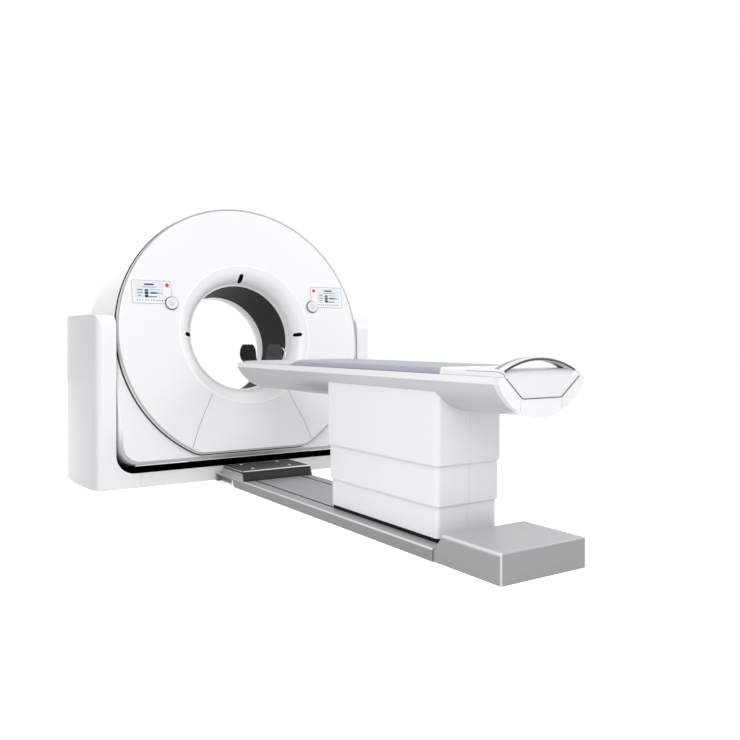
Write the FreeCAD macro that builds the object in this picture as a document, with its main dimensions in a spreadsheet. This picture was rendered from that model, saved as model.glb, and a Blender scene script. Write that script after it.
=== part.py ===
# A medical CT scanner: a tilting gantry in a U-shaped stand, and a patient table on a floor rail.
# FreeCAD 1.1 macro, millimetres. The origin lies on the floor under the isocentre. +X is to the
# right as seen from the table's foot end, +Y runs from the table into the gantry, +Z is up.
# The gantry's pieces are drawn upright about its tilt axis and are then leant back together.
import FreeCAD, Part
import Sketcher
import math
import os

SIZES = [
    # stand
    ("stand_half_width", 1027, "outer half width of the stand at its front face"),
    ("side_bulge", 48, "how far the pillar's side swells out at the end of its end curves"),
    ("side_crown", 15, "further swell of the side between its end curves"),
    ("bulge_run", 150, "length of each end curve of the side in plan"),
    ("bulge_turn", 336, "radius of the end curves of the side in plan"),
    ("pillar_inner", 931, "half the clear width between the pillars"),
    ("pillar_height", 1147, "top of the pillars"),
    ("pillar_edge", 95, "radius of the pillar's front and rear top edges"),
    ("pillar_corner", 125, "radius where pillar and base meet inside"),
    ("stand_front", 350, "stand's front face, in front of the tilt axis"),
    ("stand_back", 500, "stand's rear face, behind the tilt axis"),
    ("base_height", 97, "top of the base at its front edge"),
    ("base_seam", 773, "half distance of the seams in the base"),
    ("joint_line", 0.8, "visible gap in a seam between covers"),
    ("panel_line", 2.2, "visible gap beside the lower front panel"),
    ("hidden_gap", 0.3, "assembly clearance between seated pieces"),
    ("running_gap", 0.05, "radial clearance of shafts and bearings"),
    ("pillar_wall", 14, "wall of the pillar cover towards the gantry"),
    ("post_depth", 260, "post of the base frame along Y"),
    ("post_width", 55, "post of the base frame along X"),
    ("post_top", 1085, "top of the posts"),
    ("cavity_margin", 40, "free space before and behind the post in its cover"),
    ("cavity_width", 130, "hollow of the pillar cover along X"),
    ("plate_depth", 400, "floor plate of the base frame along Y"),
    ("plate_thick", 25, "floor plate of the base frame"),
    ("anchor_x", 1300, "floor anchors of the stand, spacing along X"),
    ("anchor_y", 320, "floor anchors of the stand, spacing along Y"),
    ("anchor_hole", 9, "radius of the floor anchor holes"),
    ("bearing_radius", 90, "tilt bearing outer radius"),
    ("tilt_pin_radius", 60, "tilt pin radius"),
    ("pin_window", 75, "radius of the hole in the cover round the tilt pin"),
    ("gear_height", 180, "tilt gearbox height"),
    ("gear_width", 50, "tilt gearbox along X"),
    ("gear_depth", 120, "tilt gearbox along Y"),
    ("gear_drop", 120, "top of the tilt gearbox below the tilt axis"),
    # gantry
    ("tilt_shown", 9.42, "lean of the gantry in the rest pose, degrees"),
    ("axis_height", 968.6, "height of the isocentre and the tilt axis"),
    ("sweep_radius", 930, "largest radius of the gantry's underside about the tilt axis"),
    ("trough_gap", 3, "gap between the sweeping underside and the trough liner"),
    ("liner_thick", 5, "trough liner"),
    ("drum_radius", 923, "outer radius of the gantry shell"),
    ("drum_corner", 130, "lower corner radius of the gantry shell"),
    ("drum_flat", 865, "underside of the gantry shell below the axis"),
    ("drum_flange", 20, "overlap of the shell behind the disc at the flat bottom"),
    ("drum_lip", 12, "bevel of the shell's front edge"),
    ("drum_round", 55, "rounding of the shell's rear edge"),
    ("drum_wall", 18, "wall of the gantry shell"),
    ("rear_wall", 30, "rear wall of the gantry shell"),
    ("gantry_front", 342.6, "plane of the trim ring before the isocentre"),
    ("gantry_back", 517.4, "rear face of the gantry behind the isocentre"),
    ("disc_depth", 50, "trim ring's plane before the shell's front face"),
    ("face_crown", 5, "front face proud of the trim ring's plane"),
    ("disc_edge", 10, "width of the rounded border of the front face"),
    ("edge_turn", 14, "radius of the rounded border of the front face"),
    ("disc_radius", 923.4, "trim ring outer radius"),
    ("trim_width", 11, "trim ring width"),
    ("disc_flat", 831, "flat bottom of the disc below the axis"),
    ("disc_corner", 150, "corner radius where the disc turns into its flat bottom"),
    ("flare_rim", 499, "outer radius of the front flare"),
    ("flare_depth", 145, "depth of the front flare behind the trim ring's plane"),
    ("flare_turn", 150, "radius of the flare's curve"),
    ("flare_wall", 6, "wall of the flares"),
    ("bore_radius", 381, "clear radius of the bore"),
    ("bore_wall", 6, "wall of the bore liner"),
    ("liner_end", 553, "rear end of the dark liner behind the trim ring's plane"),
    ("ring_end", 605, "rear end of the white ring behind the trim ring's plane"),
    ("rear_start", 655, "start of the rear flare behind the trim ring's plane"),
    ("rear_rim", 560, "outer radius of the rear flare"),
    ("rear_turn", 300, "radius of the rear flare's curve"),
    ("window_inner", 402, "inner radius of the laser windows at the sides"),
    ("window_outer", 455, "outer radius of the laser windows at the sides"),
    ("window_wide", 28, "width of the laser windows at the sides"),
    ("window_round", 13, "corner radius of the laser windows"),
    ("top_window_inner", 391, "inner radius of the laser window at the top"),
    ("top_window_outer", 444, "outer radius of the laser window at the top"),
    ("top_window_wide", 34, "width of the laser window at the top"),
    ("seam_top_x", 290, "lower panel seam at the flare"),
    ("seam_top_drop", 418, "lower panel seam at the flare, below the axis"),
    ("seam_mid_x", 404, "lower panel seam at its bend"),
    ("seam_mid_drop", 643, "lower panel seam at its bend, below the axis"),
    ("seam_low_x", 460, "lower panel seam at the rim"),
    ("seam_low_drop", 795, "lower panel seam at the rim, below the axis"),
    ("strip_length", 1690, "touch strip under the gantry"),
    ("strip_width", 24, "touch strip along the bore"),
    ("strip_thick", 5, "touch strip"),
    # control panels
    ("panel_out", 814, "outer edge of a control panel from the middle"),
    ("panel_near", 545, "inner edge of a control panel from the middle"),
    ("panel_top", 362, "top of a control panel above the axis"),
    ("panel_low", 205, "bottom of a control panel above the axis"),
    ("panel_cut", 48, "corner cut of a control panel beside its knob"),
    ("panel_round", 14, "corner radius of a control panel"),
    ("panel_seat", 6, "depth of the panel's recess in the front cover"),
    ("panel_proud", 1.5, "panel face proud of the front cover"),
    ("screen_far", 795, "outer edge of the screen from the middle"),
    ("screen_near", 600, "inner edge of the screen from the middle"),
    ("screen_top", 352, "top of the screen above the axis"),
    ("screen_low", 242, "bottom of the screen above the axis"),
    ("screen_seat", 2, "depth of the screen's recess"),
    ("stop_x", 573, "red button from the middle"),
    ("stop_up", 333, "red button above the axis"),
    ("stop_radius", 13, "red button radius"),
    ("stop_proud", 6, "red button proud of its panel"),
    ("button_stem", 14, "length of a button in its hole"),
    ("button_well", 20, "depth of a button's hole behind the panel"),
    ("button_gap", 0.3, "gap round a button"),
    ("knob_x", 547, "knob from the middle"),
    ("knob_up", 208, "knob above the axis"),
    ("knob_radius", 41, "knob radius"),
    ("knob_proud", 16, "knob's height"),
    ("knob_floor", 4.0, "thickness of a knob under its key"),
    ("knob_edge", 4, "rounding of the knob's face"),
    ("knob_shaft", 9, "knob shaft radius"),
    ("knob_shaft_length", 24, "knob shaft in the front cover"),
    ("key_radius", 18, "push key in the knob"),
    ("key_proud", 2, "push key proud of the knob"),
    ("touch_count", 11, "flat touch keys in a row"),
    ("touch_first", 785, "outermost touch key from the middle"),
    ("touch_pitch", 19, "spacing of the touch keys"),
    ("touch_up", 226, "touch keys above the axis"),
    ("touch_wide", 9, "touch key width"),
    ("touch_high", 6, "touch key height"),
    ("touch_thick", 0.6, "touch key proud of its panel"),
    # inside the gantry
    ("stator_inner", 440, "stator frame inner radius"),
    ("stator_outer", 860, "stator frame outer radius"),
    ("stator_back", 170, "rear face of the stator frame behind the isocentre"),
    ("stator_thick", 40, "stator frame"),
    ("arm_height", 240, "stator frame's arm to the tilt pin"),
    ("race_outer", 560, "main bearing outer radius"),
    ("race_split", 520, "main bearing running radius"),
    ("race_inner", 475, "main bearing inner radius"),
    ("race_thick", 45, "main bearing width"),
    ("race_step", 1, "step between the two bearing rings"),
    ("motor_inner", 640, "ring motor stator inner radius"),
    ("motor_outer", 700, "ring motor stator outer radius"),
    ("motor_thick", 40, "ring motor width"),
    ("rotor_radius", 800, "rotor disc outer radius"),
    ("rotor_hole", 408, "rotor disc inner radius"),
    ("rotor_thick", 40, "rotor disc"),
    ("slip_radius", 437, "slip ring outer radius"),
    ("slip_hole", 410, "slip ring inner radius"),
    ("slip_thick", 60, "slip ring width"),
    ("tube_up", 610, "X-ray tube above the axis"),
    ("tube_radius", 105, "X-ray tube housing radius"),
    ("tube_length", 180, "X-ray tube housing along the bore"),
    ("collimator_low", 425, "collimator bottom above the axis"),
    ("collimator_wide", 210, "collimator along X"),
    ("collimator_deep", 110, "collimator along the bore"),
    ("detector_radius", 1040, "detector arc about the tube's focus"),
    ("detector_thick", 75, "detector arc"),
    ("detector_deep", 180, "detector arc along the bore"),
    ("detector_span", 54, "detector arc, degrees"),
    ("box_side_x", 640, "generator and cooler from the middle"),
    ("generator_size", 250, "generator, square side"),
    ("generator_deep", 180, "generator along the bore"),
    ("cooler_size", 220, "cooler, square side"),
    # floor rail
    ("rail_half", 251, "half width of the rail"),
    ("rail_height", 58.7, "height of the rail"),
    ("rail_lead", 18, "gap between the stand and the rail head block"),
    ("rail_head", 32, "length of the rail head block"),
    ("rail_end", 2834, "foot end of the rail from the isocentre"),
    ("rail_edge", 4, "rounding of the rail's top edges"),
    ("slot_x", 168, "rail slots from the middle"),
    ("slot_width", 12, "rail slot width"),
    ("slot_depth", 14, "rail slot depth"),
    ("recess_length", 280, "side recess at the rail's gantry end"),
    ("recess_depth", 26, "side recess into the rail"),
    ("recess_height", 42, "side recess height"),
    ("rail_anchor_x", 400, "rail floor anchors, spacing along X"),
    ("rail_anchor_y", 1800, "rail floor anchors, spacing along Y"),
    ("rail_anchor_middle", 1750, "middle of the rail floor anchors from the isocentre"),
    ("rail_anchor_hole", 7, "radius of the rail's anchor holes"),
    ("rail_anchor_deep", 40, "depth of the rail's anchor holes"),
    ("foot_block_length", 52, "anchor block along the rail"),
    ("foot_block_height", 16, "anchor block height"),
    ("foot_block_first", 60, "first anchor block from the head block"),
    ("foot_block_pitch", 110, "spacing of the anchor blocks"),
    ("foot_pin_radius", 9, "upright anchor pin radius"),
    ("foot_pin_at", 235, "anchor pin from the head block"),
    ("bracket_half", 250, "half width of the bracket"),
    ("bracket_front", 842, "bracket's table side from the isocentre"),
    ("bracket_back", 497, "bracket's gantry side from the isocentre"),
    ("bracket_height", 63, "bracket above the rail"),
    ("bracket_lean", 26, "slope of the bracket's table side"),
    ("bracket_lip", 9, "height of the lip at the bracket's foot"),
    ("cheek_thick", 8, "bracket cheek"),
    ("cheek_drop", 12, "cheek's top below the bracket's"),
    ("screw_x", 137, "bracket screws from the middle"),
    ("screw_back", 43, "screws from the bracket's gantry side"),
    ("screw_pitch", 187, "spacing of the screws along Y"),
    ("screw_radius", 8, "screw head radius"),
    ("screw_head", 5, "screw head height"),
    ("screw_well", 14, "screw counterbore radius"),
    ("screw_sink", 6, "screw counterbore depth"),
    ("end_half", 246, "half width of the foot-end block"),
    ("end_height", 132, "height of the foot-end block"),
    ("end_slope", 63, "length of the block's sloped side"),
    ("end_step", 55, "height where the slope starts"),
    ("end_ledge", 11.0, "depth of the end block's ledge"),
    ("end_back", 3275, "foot end of the block from the isocentre"),
    ("end_edge", 9, "rounding of the block"),
    # pedestal
    ("pedestal_middle", 2306.5, "middle of the pedestal from the isocentre"),
    ("pedestal_half", 493.5, "half length of the upper cover"),
    ("cover_half", 200, "half width of the upper cover"),
    ("cover_step", 10, "step from one cover to the next inside it"),
    ("cover_wall", 5, "wall of the pedestal covers"),
    ("cover_round", 30, "upright corner radius of the upper cover"),
    ("upper_bottom", 412, "bottom of the upper cover"),
    ("middle_bottom", 225, "bottom of the middle cover"),
    ("middle_top", 485, "top of the middle cover"),
    ("lower_bottom", 79, "bottom of the lower cover"),
    ("lower_top", 310, "top of the lower cover"),
    ("cover_deck", 6, "inner deck of the middle and lower covers"),
    ("seam_width", 1.6, "upright seam in the covers' foot end"),
    ("seam_depth", 1.2, "depth of that seam"),
    ("carriage_gap", 0.9, "carriage above the rail"),
    ("carriage_top", 90, "top of the carriage plate"),
    ("guide_width", 8, "carriage guide in the rail's slot"),
    ("guide_depth", 9, "carriage guide below the rail's top"),
    ("column_radius", 120, "outer lift column radius"),
    ("column_wall", 11.7, "wall of the lift columns"),
    ("column_top", 315, "top of the outer lift column"),
    ("column_middle_top", 492, "top of the middle lift column"),
    ("column_inner_bottom", 385, "bottom of the inner lift column"),
    ("lift_motor_radius", 45, "lift motor radius"),
    ("lift_motor_height", 180, "lift motor height"),
    ("lift_motor_away", 250, "lift motor from the column's middle"),
    # table
    ("table_head", 700, "head end of the hull from the isocentre"),
    ("table_seam", 3214, "seam of the hull's end cap from the isocentre"),
    ("table_foot", 3268, "foot end of the table from the isocentre"),
    ("cap_half", 248, "half width of the hull's flared end"),
    ("cap_low", 655, "lowest height of the hull's flared end"),
    ("cap_undercut", 19, "how far the end face runs back at its bottom"),
    ("hull_half", 232, "half width of the hull"),
    ("hull_top", 832, "top of the hull"),
    ("hull_band", 32, "height of the hull's upright band"),
    ("hull_turn", 259.7, "radius of the hull's underside"),
    ("channel_half", 215.5, "half width of the cradle's channel at the top"),
    ("channel_floor_half", 112.5, "half width of the channel's floor"),
    ("channel_floor", 743.5, "height of the channel's floor"),
    ("cradle_gap", 0.5, "gap between cradle and channel"),
    ("side_gap", 2.2, "gap between the cradle and the channel at its sides"),
    ("cradle_drop", 3, "cradle's top below the hull's top"),
    ("board_length", 2142, "cradle board from the head end to the end block"),
    ("block_top", 864, "top of the cradle's end block"),
    ("block_half", 216, "half width of the end block's raised part"),
    ("block_slope", 10, "length of the end block's sloped lead"),
    ("block_edge", 9, "rounding of the end block"),
    ("block_bevel", 45, "length of the bevel at the foot of the end block"),
    ("bevel_turn", 60, "rounding where the bevel begins"),
    ("hoop_rise", 50, "height of the hoop's middle over its feet"),
    ("hoop_thick", 18, "thickness of the hoop"),
    ("hoop_wide", 84, "width of the hoop's band"),
    ("hoop_at", 3214, "middle of the hoop from the isocentre"),
    ("mat_half", 200, "half width of the mattress"),
    ("mat_thin", 841, "top of the mattress at its head part"),
    ("mat_thick", 866, "top of the mattress at its body part"),
    ("mat_step_head", 1361, "head end of the mattress's slope from the isocentre"),
    ("mat_step_foot", 1487, "foot end of the mattress's slope from the isocentre"),
    ("mat_foot", 2825, "foot end of the mattress from the isocentre"),
    ("mat_crown", 4, "rise of the mattress's middle"),
    ("mat_end", 12, "length of the mattress's rounded ends"),
    ("mat_side", 3, "how far the mattress's sides draw in below"),
    ("holder_radius", 107, "half width of the head holder"),
    ("holder_turn", 98, "rounding of the head holder's trough"),
    ("holder_wall", 9, "head holder wall"),
    ("holder_top", 950, "top of the head holder's ears"),
    ("holder_low", 785, "underside of the head holder"),
    ("holder_length", 248, "length of the head holder's ears"),
    ("holder_start", 2, "gap between the hull's end and the ears"),
    ("ear_round", 70, "rounding of the ears seen from the side"),
    ("ear_foot", 100, "rounding of the ears at the bottom of the head end"),
    ("tongue_half", 60, "half width of the head holder's tongue"),
    ("tongue_length", 120, "tongue in the cradle"),
    ("tongue_thick", 12, "tongue thickness"),
]


class Size:
    """A value of the sheet, or arithmetic on such values, together with its expression."""

    def __init__(self, text, value):
        self.text = text
        self.value = float(value)

    def __add__(self, other):
        return joined(self, "+", other)

    def __radd__(self, other):
        return joined(other, "+", self)

    def __sub__(self, other):
        return joined(self, "-", other)

    def __rsub__(self, other):
        return joined(other, "-", self)

    def __mul__(self, other):
        return joined(self, "*", other)

    def __rmul__(self, other):
        return joined(other, "*", self)

    def __truediv__(self, other):
        return joined(self, "/", other)

    def __neg__(self):
        return joined(-1, "*", self)


def as_size(item):
    """Gives a number the form of a Size."""
    if isinstance(item, Size):
        return item
    return Size("(%s)" % repr(float(item)), item)


def joined(left, sign, right):
    """Joins two values by one arithmetic sign."""
    left = as_size(left)
    right = as_size(right)
    results = {
        "+": lambda: left.value + right.value,
        "-": lambda: left.value - right.value,
        "*": lambda: left.value * right.value,
        "/": lambda: left.value / right.value,
    }
    return Size("(%s %s %s)" % (left.text, sign, right.text), results[sign]())


def root(item):
    """The square root of a value."""
    return Size("sqrt(%s)" % item.text, math.sqrt(item.value))


def arc_sine(item):
    """The angle in degrees whose sine is a value."""
    return Size("asin(%s)" % item.text, math.degrees(math.asin(item.value)))


def leg(longest, other):
    """The remaining side of a right-angled triangle."""
    return root(longest * longest - other * other)


def bind(thing, name, item):
    """Ties one property of a document object to the sheet."""
    thing.setExpression(name, as_size(item).text)


def fill_sheet(doc):
    """Writes the sizes into the sheet and returns them by name."""
    sheet = doc.addObject("Spreadsheet::Sheet", "Sizes")
    for row, (name, number, note) in enumerate(SIZES, start=1):
        sheet.set("A%d" % row, name)
        sheet.set("B%d" % row, str(number))
        sheet.set("C%d" % row, note)
        sheet.setAlias("B%d" % row, name)
    doc.recompute()
    return {name: Size("Sizes." + name, sheet.get(name)) for name, number, note in SIZES}


class Names:
    """The sizes as attributes."""

    def __init__(self, table):
        self.__dict__.update(table)


def new_body(doc, label):
    """Makes an empty body whose label is the sub-part's name."""
    body = doc.addObject("PartDesign::Body", label)
    body.Label = label
    body.AllowCompound = True
    return body


def origin_plane(body, role):
    """Finds one of a body's own origin planes or axes."""
    return [item for item in body.Origin.OriginFeatures if item.Role == role][0]


def new_sketch(body, role, offset=0):
    """Attaches a sketch to an origin plane, moved along the plane's normal."""
    sketch = body.newObject("Sketcher::SketchObject", body.Label + "_sketch")
    sketch.AttachmentSupport = [(origin_plane(body, role), "")]
    sketch.MapMode = "FlatFace"
    bind(sketch, "AttachmentOffset.Base.z", offset)
    return sketch


def hold(sketch, kind, geometry, item, point=None):
    """Adds a dimension to a sketch and ties it to the sheet."""
    item = as_size(item)
    if point is None:
        number = sketch.addConstraint(Sketcher.Constraint(kind, geometry, item.value))
    else:
        number = sketch.addConstraint(Sketcher.Constraint(kind, geometry, point, item.value))
    sketch.setExpression("Constraints[%d]" % number, item.text)


def vector(x, y):
    return FreeCAD.Vector(as_size(x).value, as_size(y).value, 0)


def draw_circle(sketch, x, y, radius):
    """Draws a circle that is held by its centre and radius."""
    radius = as_size(radius)
    circle = Part.Circle(vector(x, y), FreeCAD.Vector(0, 0, 1), radius.value)
    number = sketch.addGeometry(circle)
    hold(sketch, "Radius", number, radius)
    hold(sketch, "DistanceX", number, x, 3)
    hold(sketch, "DistanceY", number, y, 3)


def draw_axis(sketch, x1, y1, x2, y2):
    """Draws a construction line for a revolution."""
    number = sketch.addGeometry(Part.LineSegment(vector(x1, y1), vector(x2, y2)), True)
    for point, x, y in ((1, x1, y1), (2, x2, y2)):
        hold(sketch, "DistanceX", number, x, point)
        hold(sketch, "DistanceY", number, y, point)


def arc_between(start, end, radius):
    """An arc from start to end; a positive radius turns left, a negative one right."""
    middle = (start + end) * 0.5
    along = end - start
    half = along.Length / 2
    rise = math.sqrt(max(radius * radius - half * half, 0))
    side = FreeCAD.Vector(-along.y, along.x, 0).normalize()
    centre = middle + side * (rise if radius > 0 else -rise)
    first, last = (start, end) if radius > 0 else (end, start)
    begin = math.atan2(first.y - centre.y, first.x - centre.x)
    finish = math.atan2(last.y - centre.y, last.x - centre.x)
    if finish < begin:
        finish += 2 * math.pi
    circle = Part.Circle(centre, FreeCAD.Vector(0, 0, 1), abs(radius))
    return Part.ArcOfCircle(circle, begin, finish)


def trimmed(corners, index):
    """Where a rounded corner's arc leaves the lines before and after it, and its turn."""
    here = vector(*corners[index][:2])
    before = (vector(*corners[index - 1][:2]) - here).normalize()
    after = (vector(*corners[(index + 1) % len(corners)][:2]) - here).normalize()
    turn = math.pi - before.getAngle(after)
    reach = as_size(corners[index][2]).value * math.tan(turn / 2)
    left = (-before).cross(after).z > 0
    return here + before * reach, here + after * reach, left


def draw_outline(sketch, corners, bends=None):
    """Draws a closed outline, fully held. A corner is (x, y) or (x, y, radius), and bends gives
    the radius of each side that is an arc, by the number of the corner where the side starts."""
    bends = bends or {}
    count = len(corners)
    ends = []
    for index, corner in enumerate(corners):
        if len(corner) == 3:
            ends.append(trimmed(corners, index))
        else:
            here = vector(*corner)
            ends.append((here, here, None))
    sides = []
    for index in range(count):
        start = ends[index][1]
        end = ends[(index + 1) % count][0]
        if index in bends:
            turn = as_size(bends[index])
            number = sketch.addGeometry(arc_between(start, end, turn.value))
            hold(sketch, "Radius", number, Size("abs(%s)" % turn.text, abs(turn.value)))
            sides.append((number, 1, 2) if turn.value > 0 else (number, 2, 1))
        else:
            number = sketch.addGeometry(Part.LineSegment(start, end))
            sides.append((number, 1, 2))
    for index, corner in enumerate(corners):
        before = sides[index - 1]
        after = sides[index]
        if len(corner) == 3:
            round_corner(sketch, corner, ends[index], before, after)
            continue
        sketch.addConstraint(
            Sketcher.Constraint("Coincident", before[0], before[2], after[0], after[1]))
        hold(sketch, "DistanceX", after[0], corner[0], after[1])
        hold(sketch, "DistanceY", after[0], corner[1], after[1])


def round_corner(sketch, corner, end, before, after):
    """Adds the arc of a rounded corner between two straight sides."""
    start, finish, left = end
    radius = as_size(corner[2])
    turn = radius.value if left else -radius.value
    arc = sketch.addGeometry(arc_between(start, finish, turn))
    point = sketch.addGeometry(Part.Point(vector(*corner[:2])), True)
    hold(sketch, "DistanceX", point, corner[0], 1)
    hold(sketch, "DistanceY", point, corner[1], 1)
    sketch.addConstraint(Sketcher.Constraint("PointOnObject", point, 1, before[0]))
    sketch.addConstraint(Sketcher.Constraint("PointOnObject", point, 1, after[0]))
    first, last = (1, 2) if left else (2, 1)
    sketch.addConstraint(Sketcher.Constraint("Tangent", before[0], before[2], arc, first))
    sketch.addConstraint(Sketcher.Constraint("Tangent", arc, last, after[0], after[1]))
    hold(sketch, "Radius", arc, radius)


def box_corners(x1, y1, x2, y2, radius=None):
    """The four corners of an upright rectangle, sharp or rounded."""
    corners = [(x1, y1), (x2, y1), (x2, y2), (x1, y2)]
    if radius is None:
        return corners
    return [corner + (radius,) for corner in corners]


def pad(body, sketch, length, backwards=False):
    """Pads a sketch along its normal, or against it."""
    feature = body.newObject("PartDesign::Pad", body.Label + "_pad")
    feature.Profile = sketch
    feature.Reversed = backwards
    bind(feature, "Length", length)
    return feature


def pad_both(body, sketch, length):
    """Pads a sketch by half the length to each side."""
    feature = pad(body, sketch, length)
    feature.SideType = "Symmetric"
    return feature


def cut(body, sketch, length, forwards=False):
    """Cuts against the sketch's normal, or along it."""
    feature = body.newObject("PartDesign::Pocket", body.Label + "_pocket")
    feature.Profile = sketch
    feature.Type = "Length"
    feature.Reversed = forwards
    bind(feature, "Length", length)
    return feature


def cut_through(body, sketch):
    """Cuts a sketch through the whole body, both ways."""
    feature = body.newObject("PartDesign::Pocket", body.Label + "_pocket")
    feature.Profile = sketch
    feature.SideType = "Symmetric"
    feature.Type = "ThroughAll"
    return feature


def turn_solid(body, sketch, axis="H_Axis", angle=360, kind="Revolution"):
    """Revolves a sketch, or cuts its revolution out, half the angle to each side."""
    feature = body.newObject("PartDesign::" + kind, body.Label + "_turn")
    feature.Profile = sketch
    feature.ReferenceAxis = (sketch, [axis])
    feature.Midplane = True
    bind(feature, "Angle", angle)
    return feature


def edges_where(body, test):
    """Names of the tip's edges whose bounding box passes a test."""
    body.Document.recompute()
    names = []
    for number, edge in enumerate(body.Tip.Shape.Edges, start=1):
        if test(edge.BoundBox, edge):
            names.append("Edge%d" % number)
    return names


def dress(body, kind, test, item):
    """Fillets or chamfers the edges that pass a test."""
    names = edges_where(body, test)
    if not names:
        raise ValueError("no edge to dress on " + body.Label)
    base = body.Tip
    feature = body.newObject("PartDesign::" + kind, body.Label + "_" + kind.lower())
    feature.Base = (base, names)
    bind(feature, "Radius" if kind == "Fillet" else "Size", item)
    return feature


def near(number, item):
    return abs(number - as_size(item).value) < 0.01


def mirror(body, feature, role):
    """Repeats a feature on the other side of an origin plane."""
    copy = body.newObject("PartDesign::Mirrored", body.Label + "_mirrored")
    copy.Originals = [feature]
    copy.MirrorPlane = (origin_plane(body, role), [""])
    body.Tip = copy
    return copy


def repeat(body, feature, role, pitch, count, backwards=False):
    """Repeats a feature in a row along an origin axis."""
    row = body.newObject("PartDesign::LinearPattern", body.Label + "_row")
    row.Originals = [feature]
    row.Direction = (origin_plane(body, role), [""])
    row.Reversed = backwards
    row.Mode = "Spacing"
    bind(row, "Offset", pitch)
    bind(row, "Occurrences", count)
    body.Tip = row
    return row


def both_sides(body, feature, row):
    """Repeats a row of one feature on the other side of the middle plane."""
    copy = body.newObject("PartDesign::MultiTransform", body.Label + "_both")
    copy.Originals = [feature]
    flip = body.newObject("PartDesign::Mirrored", body.Label + "_flip")
    flip.MirrorPlane = (origin_plane(body, "YZ_Plane"), [""])
    copy.Transformations = [row, flip]
    body.Tip = copy
    return copy


def lean(thing, z):
    """Leans a piece of the gantry back with the others."""
    thing.Placement = FreeCAD.Placement(
        FreeCAD.Vector(0, 0, z.axis_height.value),
        FreeCAD.Rotation(FreeCAD.Vector(-1, 0, 0), z.tilt_shown.value))
    bind(thing, "Placement.Base.z", z.axis_height)
    bind(thing, "Placement.Rotation.Angle", z.tilt_shown)
    return thing


def subtract(doc, label, base, tool):
    """A sub-part that is one body less another."""
    result = doc.addObject("Part::Cut", label)
    result.Label = label
    result.Base = base
    result.Tool = tool
    return result


# ---------------------------------------------------------------- stand

def trough_radius(z):
    """Radius of the covers' hollow about the tilt axis, under the trough liner."""
    return z.sweep_radius + z.trough_gap + z.liner_thick


def pillar_cover(doc, z, side, label):
    body = new_body(doc, label)
    swell = z.stand_half_width + z.side_bulge
    reach = swell + 2 * z.side_crown
    sketch = new_sketch(body, "XZ_Plane", -z.stand_back)
    draw_outline(sketch, [
        (side * reach, 0), (side * z.base_seam, 0), (side * z.base_seam, z.base_height),
        (side * z.pillar_inner, z.base_height, z.pillar_corner),
        (side * z.pillar_inner, z.pillar_height), (side * reach, z.pillar_height)])
    pad(body, sketch, z.stand_front + z.stand_back)
    dress(body, "Fillet", lambda box, edge: box.ZMin > z.pillar_height.value - 1
          and box.YLength < 0.01 and near(box.ZLength, 0), z.pillar_edge)
    swell_side(body, z, side, swell, reach)
    sweep_hollow(body, z, side)
    post_hollow(body, z, side)
    return body


def swell_side(body, z, side, swell, reach):
    """Cuts the outer side of a pillar to its bulge in plan."""
    sketch = new_sketch(body, "XY_Plane")
    wide = z.stand_half_width
    beyond = reach + z.side_bulge
    crown = z.side_crown
    span = (z.stand_front + z.stand_back) / 2 - z.bulge_run
    crown_turn = (span * span + crown * crown) / (2 * crown)
    corners = [
        (side * wide, -z.stand_front - crown), (side * wide, -z.stand_front),
        (side * swell, z.bulge_run - z.stand_front), (side * swell, z.stand_back - z.bulge_run),
        (side * wide, z.stand_back), (side * wide, z.stand_back + crown),
        (side * beyond, z.stand_back + crown), (side * beyond, -z.stand_front - crown)]
    bends = {1: side * z.bulge_turn, 2: side * crown_turn, 3: side * z.bulge_turn}
    draw_outline(sketch, corners, bends)
    cut_through(body, sketch)


def sweep_hollow(body, z, side):
    """Hollows the cover's inner corner where the gantry's lower corner swings past."""
    sketch = new_sketch(body, "XZ_Plane")
    start = side * (z.base_seam - z.liner_thick)
    floor = z.axis_height - trough_radius(z)
    draw_outline(sketch, [
        (start, z.axis_height), (start, floor),
        (side * z.pillar_inner, floor, z.pillar_corner), (side * z.pillar_inner, z.axis_height)])
    draw_axis(sketch, start, z.axis_height, side * z.pillar_inner, z.axis_height)
    turn_solid(body, sketch, "Axis0", 360, "Groove")


def post_inner(z):
    """Inner face of the base frame's posts."""
    return z.pillar_inner + z.pillar_wall + z.hidden_gap


def post_hollow(body, z, side):
    """Makes room for the frame's post, its floor plate and the tilt pin."""
    deep = z.post_depth / 2 + z.cavity_margin
    inner = side * (z.pillar_inner + z.pillar_wall)
    outer = side * (z.pillar_inner + z.pillar_wall + z.cavity_width)
    sketch = new_sketch(body, "XY_Plane")
    draw_outline(sketch, box_corners(inner, -deep, outer, deep))
    cut(body, sketch, z.post_top + z.hidden_gap, True)
    sketch = new_sketch(body, "XY_Plane")
    half = z.plate_depth / 2 + z.hidden_gap
    draw_outline(sketch, box_corners(side * (z.base_seam - z.pillar_wall), -half, outer, half))
    cut(body, sketch, z.plate_thick + z.hidden_gap, True)
    sketch = new_sketch(body, "YZ_Plane", side * (z.pillar_inner - z.pillar_wall))
    draw_circle(sketch, 0, z.axis_height, z.pin_window)
    cut(body, sketch, 3 * z.pillar_wall, side > 0)


def base_cover(doc, z, label, near_y, far_y):
    """The base's front or rear cover between the seams."""
    body = new_body(doc, label)
    half = z.base_seam - z.joint_line
    sketch = new_sketch(body, "YZ_Plane")
    draw_outline(sketch, box_corners(near_y, 0, far_y, z.base_height))
    pad_both(body, sketch, 2 * half)
    sketch = new_sketch(body, "YZ_Plane")
    draw_circle(sketch, 0, z.axis_height, trough_radius(z) + z.hidden_gap)
    cut_through(body, sketch)
    return body


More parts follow.
